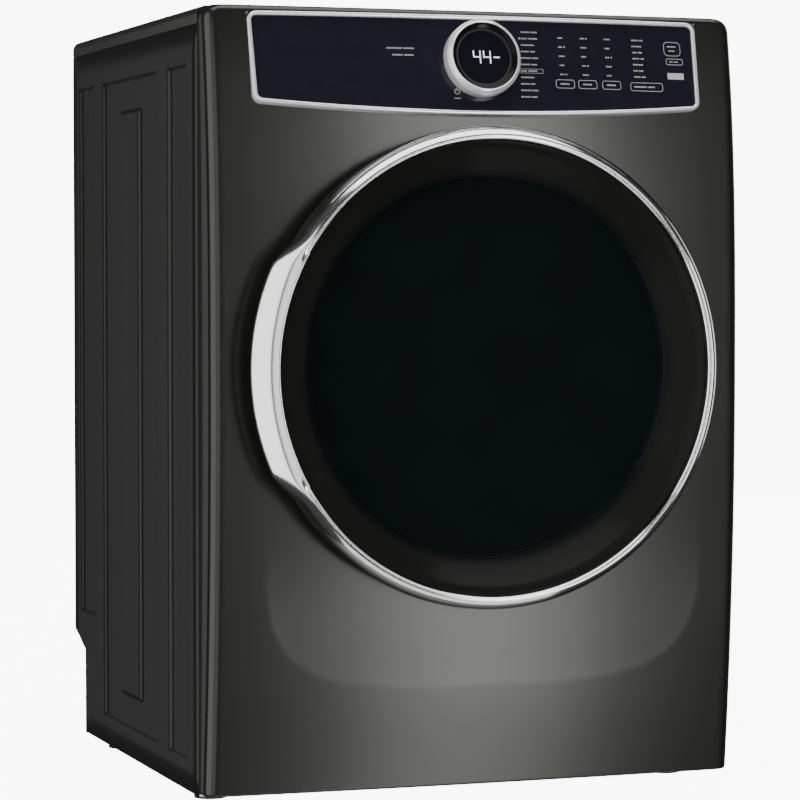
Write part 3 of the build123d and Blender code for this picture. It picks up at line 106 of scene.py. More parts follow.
# Openings in the front panel, none of which is further from its middle than the limit.
# Points within a snap distance move onto an opening's edge, and faces inside it by a margin are cut out.
OPENING_LIMIT = 314
OPENING_RADIUS = 240
OPENING_TOP = 53
OPENING_SAG = -66
OPENING_SAG_RISE = 12
OPENING_SAG_HALF = 289
OPENING_HALF = 287.5
DOOR_SNAP = 3.4
LEVEL_SNAP = 2.2
SIDE_SNAP = 2.3
DOOR_MARGIN = 0.5
CONSOLE_MARGIN = 0.3

# Side panels: each pressing is its front, back, bottom and top, from the seam and the floor.
# The rear edge is nearer the seam below its step than above it.
RECESSES = ((51, 140, 50, 900), (190, 474, 50, 900), (522, 605, 178, 900))
PAD = (287, 376, 99, 851)
PRESS = 4
WALL = 7
SIDE_START = 0.6
SIDE_REACH = 640
SIDE_LOW = 15
SIDE_TOP = 943
STEP_REACH = 580
STEP_LOW = 130
STEP_TOP = 152
SIDE_LINES = 24
EDGE_LINES = (-8, -6, -4.5, -3, -1.5, 0, 1.5, 3, 4.5, 6, 7.5, 9)

# Door: profiles are (radius, y) from the door's axis. The ring swells into the grip, which is full for
# GRIP_HALF degrees on either side of GRIP_TURN and has run out at GRIP_END.
DOOR_Z = 531
DOOR_SEGMENTS = 256
RING_SEGMENTS = 384
RING = (
    (289.4, -368.2), (291.2, -368.6), (292, -370.5), (291.6, -375), (290, -381), (287.6, -386.3),
    (284.6, -390.8), (281.8, -393.6), (280, -394.3), (278.9, -393.4), (278.4, -391.6), (277.5, -391.3),
    (276.8, -392), (275.8, -392.3), (274.7, -391.4), (273.9, -389), (273.5, -386), (273.5, -383.5),
)
GRIP = (
    (289.4, -368.2), (300, -368.0), (303.8, -368.6), (305, -370.4), (303.2, -374.2), (299.6, -378.6),
    (295.4, -382.6), (291, -386.2), (286.6, -389.2), (282.4, -391.6), (279.6, -392.9), (277.6, -393.7),
    (276.2, -394), (275.2, -393.7), (274.4, -392.4), (273.8, -389.6), (273.5, -386), (273.5, -383.5),
)
GRIP_TURN = 180
GRIP_HALF = 23
GRIP_END = 35
BEZEL = (
    (273.4, -382), (273.4, -384.6), (272.9, -385.4), (272, -385.2), (262, -377.6), (250, -368.6),
    (240, -361.4), (232.5, -356.2), (230.6, -355), (229.6, -354.6), (229, -353.8), (228.8, -351.6),
)
# Painted shade on the bezel, tinted like the window: full within the first radius and gone beyond the second
PAINTED_SHADE_START = 229
PAINTED_SHADE_END = 244
GLASS_EDGE = ((228.8, -351.8), (228.4, -353.4), (227.6, -353.8), (226.8, -353.2), (226.4, -352))
GLASS_RADIUS = 226.6
GLASS_EDGE_Y = -352.4
GLASS_Y = -352.6
GLASS_CROWN = 1.2
GLASS_RINGS = 12
GLASS_STEP = 18.85
GLASS_CENTRE = 0.4

# Console: its outline, whose lower edge sags in the middle, its rim as (distance in, height), and its face
TILT = math.radians(12.8)
CONSOLE_Y = -325
CONSOLE_Z = 904
RIM_TOP = 56
RIM_SAG = -69
RIM_LOW = -57
RIM_HALF_TOP = 291
RIM_HALF_LOW = 289
RIM_CORNER = 12
RIM_CORNER_LEAST = 2
RIM_CORNER_STEPS = 14
RIM_RUN_STEPS = 90
RIM_WIDTH = 5.2
RIM = (
    (0.2, -9), (0.2, 1.6), (0.7, 2.5), (1.4, 2.9), (2.1, 3), (3.3, 3), (4.2, 2.8), (4.8, 2.1),
    (RIM_WIDTH, 0.8), (RIM_WIDTH, -3),
)
FACE_GAP = 0.1
FACE_SINK = -0.5
FACE_RINGS = 24
FACE_HOLE = 48.1
FACE_HOLE_LIP = 3

# Dial: profiles are (radius, height above the console's middle)
DIAL_SEGMENTS = 192
DIAL_RING = (
    (47, -4), (47.4, 1), (47.5, 6), (47.5, 13.4), (47.3, 14.2), (46.9, 14.4), (46.6, 14.9), (46.3, 16.2),
    (44.6, 18.7), (43.6, 19.6), (42.8, 19.9), (42, 19.6), (41.7, 18.8),
)
DIAL_INSET = (
    (41.7, 18.9), (41.2, 18.2), (40.9, 16.4), (40.2, 15.8), (37.2, 15), (36.3, 14.6), (36.05, 13.6),
)

# Printed marks: a word is a row of blocks that take turns in height, and a key is an outline
MARK_LIFT = -0.42
BLOCK_PITCH = 1.35
BLOCK_WIDTH = 0.85
BLOCK_SHORTEST = 0.78
BLOCK_RISES = (0, 0.5, 1)
BLOCK_STRIDE = 5
WORD_GAP = 1.3
LIST_HEIGHT = 1.9
LABEL_HEIGHT = 2
KEY_ROUNDING = 0.3
KEY_CORNER_POINTS = 6
KEY_LINE = 0.6
THIN_LINE = 0.4

# The list of cycles beside the dial
CYCLE_ROWS = 11
CYCLE_U = 56
CYCLE_DRIFT = 0.6
CYCLE_TOP = 37
CYCLE_STEP = 8.2
CYCLE_WORDS = ((12, 8), (8, 12), (18,), (11, 7), (14, 8))
BOXED_ROW = 6
CYCLE_BOX = (66, 31, 5.6)
POINTER_TIP = 51.5
POINTER_BACK = 54
POINTER_HALF = 1.6

# Three columns of options, each over its key, and a list beside them
OPTION_COLUMNS = (104, 134, 166)
OPTION_ROWS = 5
OPTION_TOP = 31
OPTION_STEP = 11.6
OPTION_WORDS = ((7,), (5, 3), (8,))
OPTION_KEY_V = -27.5
OPTION_KEY_SHIFT = 5.5
OPTION_KEY_SIZE = (25, 11)
OPTION_LABEL_SHIFT = -1
OPTION_LABEL = (12,)
LIST_U = 203
LIST_ROWS = 7
LIST_STEP = 7.8
LIST_WORDS = ((9, 6), (14,), (7, 5))

# Keys as u, v, width and height, and words as u, v, lengths and height
KEYS = ((219, -28.5, 44, 11), (258, 21.5, 23, 18), (260, 5, 23, 8))
FILLED_KEY = (249, -13.5, 22, 8)
LABELS = (
    (202, -28.5, (18, 10), 2), (251.5, 24.5, (12,), 2), (253, 19, (9,), 1.7), (253, 5, (6, 5), 1.7),
    (-119, 13, (20, 14), 1.9), (-112, 4.5, (14, 12), 1.9), (-37, -48.5, (8,), 1.5),
)

# Power symbol: a circle open at its top, and a bar
POWER_CENTRE = (-33, -40)
POWER_RADII = (3.6, 3.0)
POWER_GAP = 20
POWER_STEP = 20
POWER_BAR = (-33.3, -37.6, 0.6, 4)

# Display digits: a stroke is its place across in widths and up in half heights, and whether it is upright
UPPER_LEFT = (-0.5, 0.5, True)
UPPER_RIGHT = (0.5, 0.5, True)
LOWER_RIGHT = (0.5, -0.5, True)
MIDDLE = (0, 0, False)
FOUR = (UPPER_LEFT, UPPER_RIGHT, MIDDLE, LOWER_RIGHT)
DASH = (MIDDLE,)
DIGITS = ((-9, FOUR), (4, FOUR), (16.5, DASH))
DIGIT_WIDTH = 8.4
DIGIT_HEIGHT = 16
DIGIT_LIFT = 12.9
STROKE = 1.6

# Idler spring: a coil with an open hook at each end
SPRING_X = 205
SPRING_Y = 77
SPRING_LOW = 62
SPRING_TOP = 168
SPRING_TURNS = 20
SPRING_RADIUS = 4.5
STEPS_PER_TURN = 16
WIRE_RADIUS = 0.7
WIRE_SIDES = 8
HOOK_RADIUS = 5.3
HOOK_STEPS = 20
HOOK_OPEN = 220
HOOK_JOIN = 60
LOW_HOOK_Z = 53
TOP_HOOK_Z = 179

# Floor and backdrop, as radii and heights
FLOOR_CENTRE = 0.01
FLOOR_RADIUS = 12000
BACKDROP_BEND = 3000
BACKDROP_TOP = 14000
BEND_STEPS = 16
FLOOR_SEGMENTS = 96
FLOOR_GLOW = 9

# Camera, looking a little down and turned to the right
CAMERA_PLACE = (-1.3545, -3.9167, 0.6416)
CAMERA_LENS = 141.7
CAMERA_SENSOR = 36
CAMERA_DOWN = 2.25
CAMERA_TURN = 19.206

# Lights: name, place, what it aims at, width and height, and watts
SURROUND = 0.05
LIGHTS = (
    ("front_softbox", (1.36, -3.9, 0.68), (0, -0.3, 0.68), (0.75, 3.3), 57),
    ("front_softbox_low", (1.36, -3.9, -1.85), (0, -0.3, 0.1), (0.75, 1.7), 18),
    ("front_fill", (1.7, -4.4, 0.6), (0, -0.3, 0.6), (4.2, 3.4), 3),
    ("side_softbox", (-1.9, 3.8, 0.6), (-0.34, 0, 0.5), (0.9, 3.0), 2.8),
    ("camera_softbox", (-2.0, -4.3, 0.3), (0, -0.3, 0.3), (2.6, 5.0), 54),
    ("left_softbox", (-3.4, -1.2, 0.8), (0, -0.35, 0.8), (3.6, 6.0), 150),
    ("right_softbox", (3.6, 1.7, 0.9), (0.34, 0, 0.5), (2.0, 2.8), 22),
    ("overhead", (0.2, -0.8, 3.4), (0, -0.2, 0), (3.5, 2.5), 90),
    ("under_softbox", (0, -0.65, -0.8), (0, -0.45, 0.3), (1.6, 0.9), 5),
    ("rear_softbox", (2.6, 4.2, 1.6), (0, 0.36, 0.5), (2.4, 2.4), 70),
)

# Materials: colour, metal, least and most roughness, grain in features per metre, depth of the grain,
# how far the colour strays, gloss and clear coat
STUFF = {
    "side_paint": ((0.0085, 0.0085, 0.0080), 0, 0.28, 0.34, 700, 0.00002, 0.1, 0.3, 0),
    "galvanised_steel": ((0.50, 0.51, 0.52), 1, 0.32, 0.5, 160, 0.00008, 0.18, 0.5, 0),
    "bright_steel": ((0.60, 0.60, 0.60), 1, 0.2, 0.35, 300, 0.00004, 0.08, 0.5, 0),
    "drum_enamel": ((0.58, 0.58, 0.56), 0, 0.25, 0.35, 220, 0.0001, 0.05, 0.5, 0.3),
    "baffle_plastic": ((0.30, 0.31, 0.32), 0, 0.4, 0.52, 500, 0.0001, 0.12, 0.5, 0),
    "chrome_trim": ((0.84, 0.835, 0.83), 1, 0.11, 0.15, 60, 0.000004, 0.02, 0.5, 0),
    "rim_trim": ((0.96, 0.94, 0.99), 0.5, 0.2, 0.26, 60, 0.000004, 0.02, 0.5, 0),
    "gloss_black": ((0.006, 0.006, 0.0055), 0, 0.14, 0.2, 40, 0.00001, 0.2, 0.12, 0),
    "console_gloss": ((0.0125, 0.0113, 0.0200), 0, 0.06, 0.10, 40, 0.00001, 0.2, 0.3, 0),
    # The window is an opaque sheet: its near-black colour is the glass's own tint, with painted shade for
    # the drum behind it
    "window_glass": ((0.0045, 0.0066, 0.0072), 0, 0.10, 0.16, 14, 0.00001, 0.3, 0.002, 0),
    "window_edge": ((0.0055, 0.0095, 0.0100), 0, 0.15, 0.2, 60, 0.00002, 0.3, 0.02, 0),
    "display_glass": ((0.006, 0.006, 0.010), 0, 0.04, 0.07, 40, 0.00001, 0.3, 0.5, 0.5),
    "black_plastic": ((0.016, 0.016, 0.017), 0, 0.3, 0.42, 700, 0.00008, 0.25, 0.5, 0),
    "white_plastic": ((0.62, 0.62, 0.60), 0, 0.35, 0.48, 260, 0.0001, 0.06, 0.5, 0),
    "black_rubber": ((0.018, 0.018, 0.018), 0, 0.6, 0.8, 420, 0.0002, 0.3, 0.5, 0),
    "grey_felt": ((0.22, 0.21, 0.19), 0, 0.9, 1.0, 900, 0.0006, 0.35, 0.5, 0),
    "filter_mesh": ((0.34, 0.35, 0.37), 0, 0.6, 0.8, 1500, 0.0003, 0.4, 0.5, 0),
    "circuit_green": ((0.02, 0.14, 0.05), 0, 0.35, 0.5, 350, 0.0001, 0.4, 0.5, 0),
    "heater_wire": ((0.34, 0.31, 0.29), 1, 0.4, 0.6, 400, 0.0001, 0.25, 0.5, 0),
    "bearing_plastic": ((0.72, 0.70, 0.64), 0, 0.3, 0.4, 300, 0.0001, 0.05, 0.5, 0),
    "motor_paint": ((0.05, 0.05, 0.055), 0, 0.35, 0.5, 260, 0.0001, 0.2, 0.5, 0),
    "cable_jacket": ((0.02, 0.02, 0.02), 0, 0.5, 0.65, 600, 0.0002, 0.3, 0.5, 0),
    "printed_white": ((0.52, 0.52, 0.54), 0, 0.4, 0.5, 900, 0.00001, 0.06, 0.5, 0),
}
BEZEL_STUFF = ((0.0120, 0.0120, 0.0113), 0, 0.16, 0.22, 40, 0.00001, 0.2, 0.06, 0)
# The colour the bezel darkens to near the glass: painted shade, tinted like the window
BEZEL_PAINTED_SHADE = (0.0050, 0.0070, 0.0074)
GRAIN_DETAIL = 4
GRAIN_STRENGTH = 0.4

PAINT_COLOUR = (0.040, 0.040, 0.037)
PAINT_SPREAD = 0.22
GLOW_COLOUR = (0.85, 0.9, 1, 1)
GLOW_STRENGTH = 0.8
WHITE = (1, 1, 1, 1)


# ---------------------------------------------------------------- mesh helpers

def smooth(t):
    """A smooth step from 0 to 1."""
    t = min(max(t, 0), 1)
    return t * t * (3 - 2 * t)


def add_object(name, data):
    """A new object in the scene."""
    thing = bpy.data.objects.new(name, data)
    bpy.context.scene.collection.objects.link(thing)
    return thing


def new_mesh(name, points, faces, material):
    """A smoothly shaded mesh from points in millimetres."""
    mesh = bpy.data.meshes.new(name)
    mesh.from_pydata([Vector(p) * MM for p in points], [], faces)
    mesh.materials.append(material)
    mesh.polygons.foreach_set("use_smooth", [True] * len(mesh.polygons))
    return mesh


def make_piece(name, points, faces, body, material, sharp=None):
    """A piece that rides on a CAD body if one is named, with edges over the sharp angle kept crisp."""
    mesh = new_mesh(name, points, faces, material)
    if sharp:
        mesh.set_sharp_from_angle(angle=math.radians(sharp))
    piece = add_object(name, mesh)
    if body:
        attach(piece, body)
    return piece


def thicken(piece):
    """Gives a skin the thickness of its sheet, on its inside."""
    skin = piece.modifiers.new("thickness", "SOLIDIFY")
    skin.thickness = SHEET * MM
    skin.offset = -1


def grid_faces(rows, columns, wrap_rows=False, wrap_columns=False):
    """Quads over a grid of points stored row by row."""
    faces = []
    for i in range(rows if wrap_rows else rows - 1):
        for j in range(columns if wrap_columns else columns - 1):
            k, m = (i + 1) % rows, (j + 1) % columns
            faces.append((i * columns + j, i * columns + m, k * columns + m, k * columns + j))
    return faces


def flip(faces):
    """The same faces, looking the other way."""
    return [tuple(reversed(face)) for face in faces]


def turn_points(profile, segments, place):
    """The points of a profile turned about an axis; place says where each one goes."""
    points = []
    for i in range(segments):
        angle = 2 * math.pi * i / segments
        points += [place(r * math.cos(angle), r * math.sin(angle), depth) for r, depth in profile]
    return points


def on_door(across, up, y):
    """A point beside the door's axis."""
    return (across, y, DOOR_Z + up)


def on_console(u, v, n):
    """A point on the console: u to the right, v up its slope, n proud of its bowed face."""
    n -= FACE_BOW * (u / HALF) ** 2
    y = CONSOLE_Y + v * math.sin(TILT) - n * math.cos(TILT)
    z = CONSOLE_Z + v * math.cos(TILT) + n * math.sin(TILT)
    return (u, y, z)


def on_dial(u, v, n):
    """A point on the dial, which is flat where the console is bowed."""
    return on_console(u, v, n + FACE_BOW * (u / HALF) ** 2)


def on_floor(x, y, z):
    """A point of the floor, whose axis is upright."""
    return (x, y, z)


def turned_piece(name, profile, segments, place, body, material):
    """A piece made by turning a profile about an axis."""
    points = turn_points(profile, segments, place)
    faces = grid_faces(segments, len(profile), wrap_rows=True)
    return make_piece(name, points, faces, body, material, SHARP_TURNED)


# ---------------------------------------------------------------- materials

def new_material(name, colour, metallic, roughness, coat=0.0, coat_roughness=0.03):
    """A principled material, with its tree and shader for the caller to add to."""
    material = bpy.data.materials.new(name)
    material.use_nodes = True
    tree = material.node_tree
    shader = tree.nodes["Principled BSDF"]
    shader.inputs["Base Color"].default_value = (*colour, 1)
    shader.inputs["Metallic"].default_value = metallic
    shader.inputs["Roughness"].default_value = roughness
    shader.inputs["Coat Weight"].default_value = coat
    shader.inputs["Coat Roughness"].default_value = coat_roughness
    return material, tree, shader


def noise(tree, scale, detail):
    """Noise in the object's own space, in features per metre."""
    place = tree.nodes.new("ShaderNodeTexCoord")
    texture = tree.nodes.new("ShaderNodeTexNoise")
    texture.inputs["Scale"].default_value = scale
    texture.inputs["Detail"].default_value = detail
    tree.links.new(place.outputs["Object"], texture.inputs["Vector"])
    return texture.outputs["Fac"]


def vary(tree, shader, value, dark, light):
    """Lets a value move the base colour between two colours."""
    mix = tree.nodes.new("ShaderNodeMix")
    mix.data_type = "RGBA"
    mix.inputs["A"].default_value = (*dark, 1)
    mix.inputs["B"].default_value = (*light, 1)
    tree.links.new(value, mix.inputs["Factor"])
    tree.links.new(mix.outputs["Result"], shader.inputs["Base Color"])


def vary_roughness(tree, shader, value, low, high):
    """Lets a value move the roughness between two limits."""
    span = tree.nodes.new("ShaderNodeMapRange")
    span.inputs["To Min"].default_value = low
    span.inputs["To Max"].default_value = high
    tree.links.new(value, span.inputs["Value"])
    tree.links.new(span.outputs["Result"], shader.inputs["Roughness"])


def bump(tree, shader, value, strength, distance):
    """Lets a value raise and lower the surface, by that distance in metres."""
    node = tree.nodes.new("ShaderNodeBump")
    node.inputs["Strength"].default_value = strength
    node.inputs["Distance"].default_value = distance
    tree.links.new(value, node.inputs["Height"])
    tree.links.new(node.outputs["Normal"], shader.inputs["Normal"])


def shades(colour, spread):
    """A darker and a lighter version of a colour."""
    return [c * (1 - spread) for c in colour], [c * (1 + spread) for c in colour]


def plain_stuff(name, colour, metallic, low, high, grain, depth, spread, gloss, coat):
    """A material whose colour, roughness and surface all follow one grain."""
    material, tree, shader = new_material(name, colour, metallic, (low + high) / 2, coat)
    shader.inputs["Specular IOR Level"].default_value = gloss
    value = noise(tree, grain, GRAIN_DETAIL)
    vary(tree, shader, value, *shades(colour, spread))
    vary_roughness(tree, shader, value, low, high)
    bump(tree, shader, value, GRAIN_STRENGTH, depth)
    return material


def paint_material():
    """Dark titanium car-like paint: fine metal flake under clear lacquer."""
    material, tree, shader = new_material(
        "cabinet_paint", PAINT_COLOUR, metallic=0.75, roughness=0.25, coat=0.1, coat_roughness=0.3)
    vary(tree, shader, noise(tree, scale=2600, detail=1), *shades(PAINT_COLOUR, PAINT_SPREAD))
    vary_roughness(tree, shader, noise(tree, scale=9, detail=2), low=0.20, high=0.23)
    bump(tree, shader, noise(tree, scale=240, detail=2), strength=0.08, distance=0.00002)
    return material


def bezel_material():
    """Gloss black that darkens near the glass: painted shade where the cone runs down to the window, tinted
    like the window.
    """
    material = plain_stuff("gloss_black_bezel", *BEZEL_STUFF)
    tree = material.node_tree
    place = tree.nodes.new("ShaderNodeTexCoord")
    mapping = tree.nodes.new("ShaderNodeMapping")
    mapping.inputs["Location"].default_value = (0, 0, -DOOR_Z * MM)
    mapping.inputs["Scale"].default_value = (1, 0, 1)
    reach = tree.nodes.new("ShaderNodeVectorMath")
    reach.operation = "LENGTH"
    span = tree.nodes.new("ShaderNodeMapRange")
    span.interpolation_type = "SMOOTHSTEP"
    span.inputs["From Min"].default_value = PAINTED_SHADE_START * MM
    span.inputs["From Max"].default_value = PAINTED_SHADE_END * MM
    tree.links.new(place.outputs["Object"], mapping.inputs["Vector"])
    tree.links.new(mapping.outputs["Vector"], reach.inputs[0])
    tree.links.new(reach.outputs["Value"], span.inputs["Value"])
    vary(tree, tree.nodes["Principled BSDF"], span.outputs["Result"], BEZEL_PAINTED_SHADE, BEZEL_STUFF[0])
    return material


def digit_material():
    """White display digits that glow a little."""
    material, tree, shader = new_material("display_digits", (0.8, 0.82, 0.85), metallic=0, roughness=0.4)
    vary(tree, shader, noise(tree, scale=500, detail=2), dark=(0.74, 0.76, 0.8), light=(0.84, 0.86, 0.9))
    shader.inputs["Emission Color"].default_value = GLOW_COLOUR
    shader.inputs["Emission Strength"].default_value = GLOW_STRENGTH
    return material


def floor_material():
    """Pale grey that glows white, and varies faintly."""
    material, tree, shader = new_material("floor_white", (0.3, 0.3, 0.3), metallic=0, roughness=0.7)
    vary(tree, shader, noise(tree, scale=3, detail=2), dark=(0.29, 0.29, 0.29), light=(0.31, 0.31, 0.31))
    shader.inputs["Emission Color"].default_value = WHITE
    shader.inputs["Emission Strength"].default_value = FLOOR_GLOW
    return material


def finish_nodes():
    """Gives every CAD node the material of its slot."""
    for part in frame["record"]["subparts"]:
        node = nodes[part["node"]]
        node.data.materials.clear()
        node.data.materials.append(MATERIALS[part["material_slot"]])


MATERIALS = {"cabinet_paint": paint_material()}
for stuff, look in STUFF.items():
    MATERIALS[stuff] = plain_stuff(stuff, *look)

finish_nodes()


# ---------------------------------------------------------------- front panel

def face_reach(z):
    """How far the front panel stands ahead of the seam at that height."""
    if z < FACE_MID_Z:
        return FACE_MID - FACE_BOTTOM_DROP * ((FACE_MID_Z - z) / (FACE_MID_Z - FACE_LOW_Z)) ** 2
    return FACE_MID - FACE_TOP_DROP * ((z - FACE_MID_Z) / (HEIGHT - FACE_MID_Z)) ** 3


def dish(x, z):
    """The shallow dish round the door, which ends in a smile-shaped crease below it."""
    across = abs(x - DISH_CENTRE[0]) / DISH_HALF[0]
    up = abs(z - DISH_CENTRE[1]) / DISH_HALF[1]
    inside = (1 - (across ** DISH_POWER + up ** DISH_POWER) ** (1 / DISH_POWER)) * DISH_HALF[1]
    if inside <= 0:
        return 0
    slope = DISH_RUN * (1 - math.exp(-inside / DISH_RUN))
    fade = 1 - smooth((z - DISH_FADE_START) / DISH_FADE_RUN)
    return DISH_SLOPE * slope * smooth(inside / DISH_LIP) * fade


def end_inset(distance, radius):
    """How far a rounded edge has drawn in, at that distance from its end."""
    if distance >= radius:
        return 0
    return radius - math.sqrt(max(radius ** 2 - (radius - distance) ** 2, 0))


def panel_y(x, z):
    """The front panel's surface."""
    roll = end_inset(HEIGHT - z, TOP_ROLL) + end_inset(z - PANEL_LOW, BOTTOM_ROLL)
    return Y_SEAM - face_reach(z) - FACE_BOW * (1 - (x / HALF) ** 2) + dish(x, z) + roll


def panel_row(z):
    """One level run across the panel, from seam to seam."""
    half = HALF - end_inset(HEIGHT - z, TOP_TAPER) - end_inset(z - PANEL_LOW, BOTTOM_TAPER)
    flat = half - CORNER
    lean = math.atan(2 * FACE_BOW * flat / HALF ** 2)
    meet = flat + CORNER * math.sin(lean)
    corner_y = panel_y(meet, z) + CORNER * math.cos(lean)
    arc = [(math.pi / 2 - lean) * i / CORNER_STEPS for i in range(CORNER_STEPS + 1)]
    corner = [(flat + CORNER * math.cos(a), corner_y - CORNER * math.sin(a)) for a in arc]
    flank = [(half, Y_SEAM + (corner_y - Y_SEAM) * t) for t in FLANK_STEPS]
    right = flank + corner
    left = [(-x, y) for x, y in right]
    middle = [flat * (2 * i / FRONT_COLUMNS - 1) for i in range(1, FRONT_COLUMNS)]
    front = [(x, panel_y(x, z)) for x in middle]
    return left + front + right[::-1]


def panel_levels():
    """The heights of the panel's rows, close together at its rounded ends."""
    start = PANEL_LOW + ROWS_START
    run = HEIGHT - ROWS_END - start
    low = [PANEL_LOW + up for up in BOTTOM_EDGE_ROWS]
    middle = [start + i * run / (FRONT_ROWS - 1) for i in range(FRONT_ROWS)]
    return low + middle + [HEIGHT - down for down in TOP_EDGE_ROWS]


def console_edge(x, z):
    """Distances inside the console opening, from its top, its bottom and its sides."""
    v = (z - CONSOLE_Z) / math.cos(TILT)
    low = OPENING_SAG + OPENING_SAG_RISE * (x / OPENING_SAG_HALF) ** 2
    return OPENING_TOP - v, v - low, OPENING_HALF - abs(x)


def snap_to_openings(x, z):
    """Moves a point that is near the edge of an opening onto it."""
    reach = math.hypot(x, z - DOOR_Z)
    if abs(reach - OPENING_RADIUS) < DOOR_SNAP:
        return x * OPENING_RADIUS / reach, DOOR_Z + (z - DOOR_Z) * OPENING_RADIUS / reach
    top, low, side = console_edge(x, z)
    if abs(top) < LEVEL_SNAP and side > -LEVEL_SNAP:
        z += top * math.cos(TILT)
    elif abs(low) < LEVEL_SNAP and side > -LEVEL_SNAP:
        z -= low * math.cos(TILT)
    if abs(side) < SIDE_SNAP and min(top, low) > -LEVEL_SNAP:
        x += math.copysign(side, x)
    return x, z


def snapped_point(x, y, z):
    """A point of the panel, moved onto the edge of an opening if it is near one."""
    if abs(x) > OPENING_LIMIT:
        return (x, y, z)
    new_x, new_z = snap_to_openings(x, z)
    if (new_x, new_z) == (x, z):
        return (x, y, z)
    return (new_x, panel_y(new_x, new_z), new_z)


def in_opening(corners):
    """Whether a face with those corners belongs to the door or console opening."""
    x = sum(corner[0] for corner in corners) / len(corners)
    z = sum(corner[2] for corner in corners) / len(corners)
    if abs(x) > OPENING_LIMIT:
        return False
    if math.hypot(x, z - DOOR_Z) < OPENING_RADIUS - DOOR_MARGIN:
        return True
    return min(console_edge(x, z)) > CONSOLE_MARGIN


def add_return(points, row, z, edge):
    """Adds an end row's points at the seam, and gives the faces that lead back to them."""
    start = len(points)
    points += [(x, Y_SEAM, z) for x, _ in row]
    return [(edge + j, edge + j + 1, start + j + 1, start + j) for j in range(len(row) - 1)]


def build_front_panel():
    """The curved one-piece front, with its crease and both openings."""
    levels = panel_levels()
    rows = [panel_row(z) for z in levels]
    columns = len(rows[0])
    points = [snapped_point(x, y, z) for row, z in zip(rows, levels) for x, y in row]
    faces = grid_faces(len(rows), columns)
    faces = [face for face in faces if not in_opening([points[i] for i in face])]
    faces += flip(add_return(points, rows[0], levels[0], 0))
    faces += add_return(points, rows[-1], levels[-1], (len(rows) - 1) * columns)
    paint = MATERIALS["cabinet_paint"]
    piece = make_piece("front_shell", points, faces, "cabinet", paint, SHARP_PANEL)
    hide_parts("front_panel")
    thicken(piece)


build_front_panel()


# ---------------------------------------------------------------- side panels

def box_inside(y, z, box):
    """How far a point is inside a rectangle; negative outside."""
    front, back, low, top = box
    return min(y - front, back - y, z - low, top - z)


def side_depth(y, z):
    """How far the pressed side lies inside its outer plane."""
    depth = max(smooth(box_inside(y, z, recess) / WALL) for recess in RECESSES)
    return PRESS * (depth - smooth((box_inside(y, z, PAD) + WALL) / WALL))


def side_reach(z):
    """How far behind the seam the side ends, which is less below its step."""
    rise = min(max((z - STEP_LOW) / (STEP_TOP - STEP_LOW), 0), 1)
    return STEP_REACH + (SIDE_REACH - STEP_REACH) * rise


def press_lines(low, high, edges):
    """Grid lines across the side, close together at the pressed edges."""
    lines = {low, high, *(low + (high - low) * i / SIDE_LINES for i in range(SIDE_LINES + 1))}
    for edge in edges:
        lines.update(edge + step for step in EDGE_LINES)
    return sorted(line for line in lines if low <= line <= high)


def build_side(name, node, side):
    """One side panel, with its pressings and its stepped rear edge."""
    boxes = RECESSES + (PAD,)
    across = press_lines(SIDE_START, SIDE_REACH, [edge for box in boxes for edge in box[:2]])
    up = press_lines(SIDE_LOW, SIDE_TOP, [edge for box in boxes for edge in box[2:]] + [STEP_LOW, STEP_TOP])
    points = []
    for z in up:
        for y in across:
            new_y = min(y, side_reach(z))
            points.append((side * (HALF - side_depth(new_y, z)), Y_SEAM + new_y, z))
    faces = grid_faces(len(up), len(across))
    if side < 0:
        faces = flip(faces)
    piece = make_piece(name, points, faces, "cabinet", MATERIALS["side_paint"])
    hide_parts(node)
    thicken(piece)


build_side("left_side_shell", "left_side_panel", -1)
build_side("right_side_shell", "right_side_panel", 1)


# ---------------------------------------------------------------- door

def build_door_ring():
    """The bright ring round the door, which swells into the grip on the left."""
    points = []
    for i in range(RING_SEGMENTS):
        turn = 360 * i / RING_SEGMENTS
        away = abs(turn - GRIP_TURN)
        grip = 1 - smooth((away - GRIP_HALF) / (GRIP_END - GRIP_HALF))
        angle = math.radians(turn)
        for (r, y), (grip_r, grip_y) in zip(RING, GRIP):
            reach = r + (grip_r - r) * grip
            deep = y + (grip_y - y) * grip
            points.append(on_door(reach * math.cos(angle), reach * math.sin(angle), deep))
    faces = grid_faces(RING_SEGMENTS, len(RING), wrap_rows=True)
    chrome = MATERIALS["chrome_trim"]
    piece = make_piece("door_ring", points, faces, "door", chrome, SHARP_TRIM)
    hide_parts("door_trim_ring")


def build_bezel():
    """The black cone between the ring and the window."""
    black = bezel_material()
    piece = turned_piece("door_bezel_cone", BEZEL, DOOR_SEGMENTS, on_door, "door", black)
    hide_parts("door_bezel")


def build_window():
    """The slightly crowned window and its rounded edge. The window is opaque: its dark colour is the glass's
    own tint, with the drum behind it painted in as shade.
    """
    dome = [(GLASS_RADIUS, GLASS_EDGE_Y)]
    for i in range(1, GLASS_RINGS):
        dome.append((GLASS_RADIUS - i * GLASS_STEP, GLASS_Y - GLASS_CROWN * math.sqrt(i / GLASS_RINGS)))
    dome.append((GLASS_CENTRE, GLASS_Y - GLASS_CROWN))
    glass, edge = MATERIALS["window_glass"], MATERIALS["window_edge"]
    window = turned_piece("door_window_dome", dome, DOOR_SEGMENTS, on_door, "door", glass)
    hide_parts("door_window")
    turned_piece("door_window_edge", GLASS_EDGE, DOOR_SEGMENTS, on_door, "door", edge)


build_door_ring()
build_bezel()
build_window()


# ---------------------------------------------------------------- console

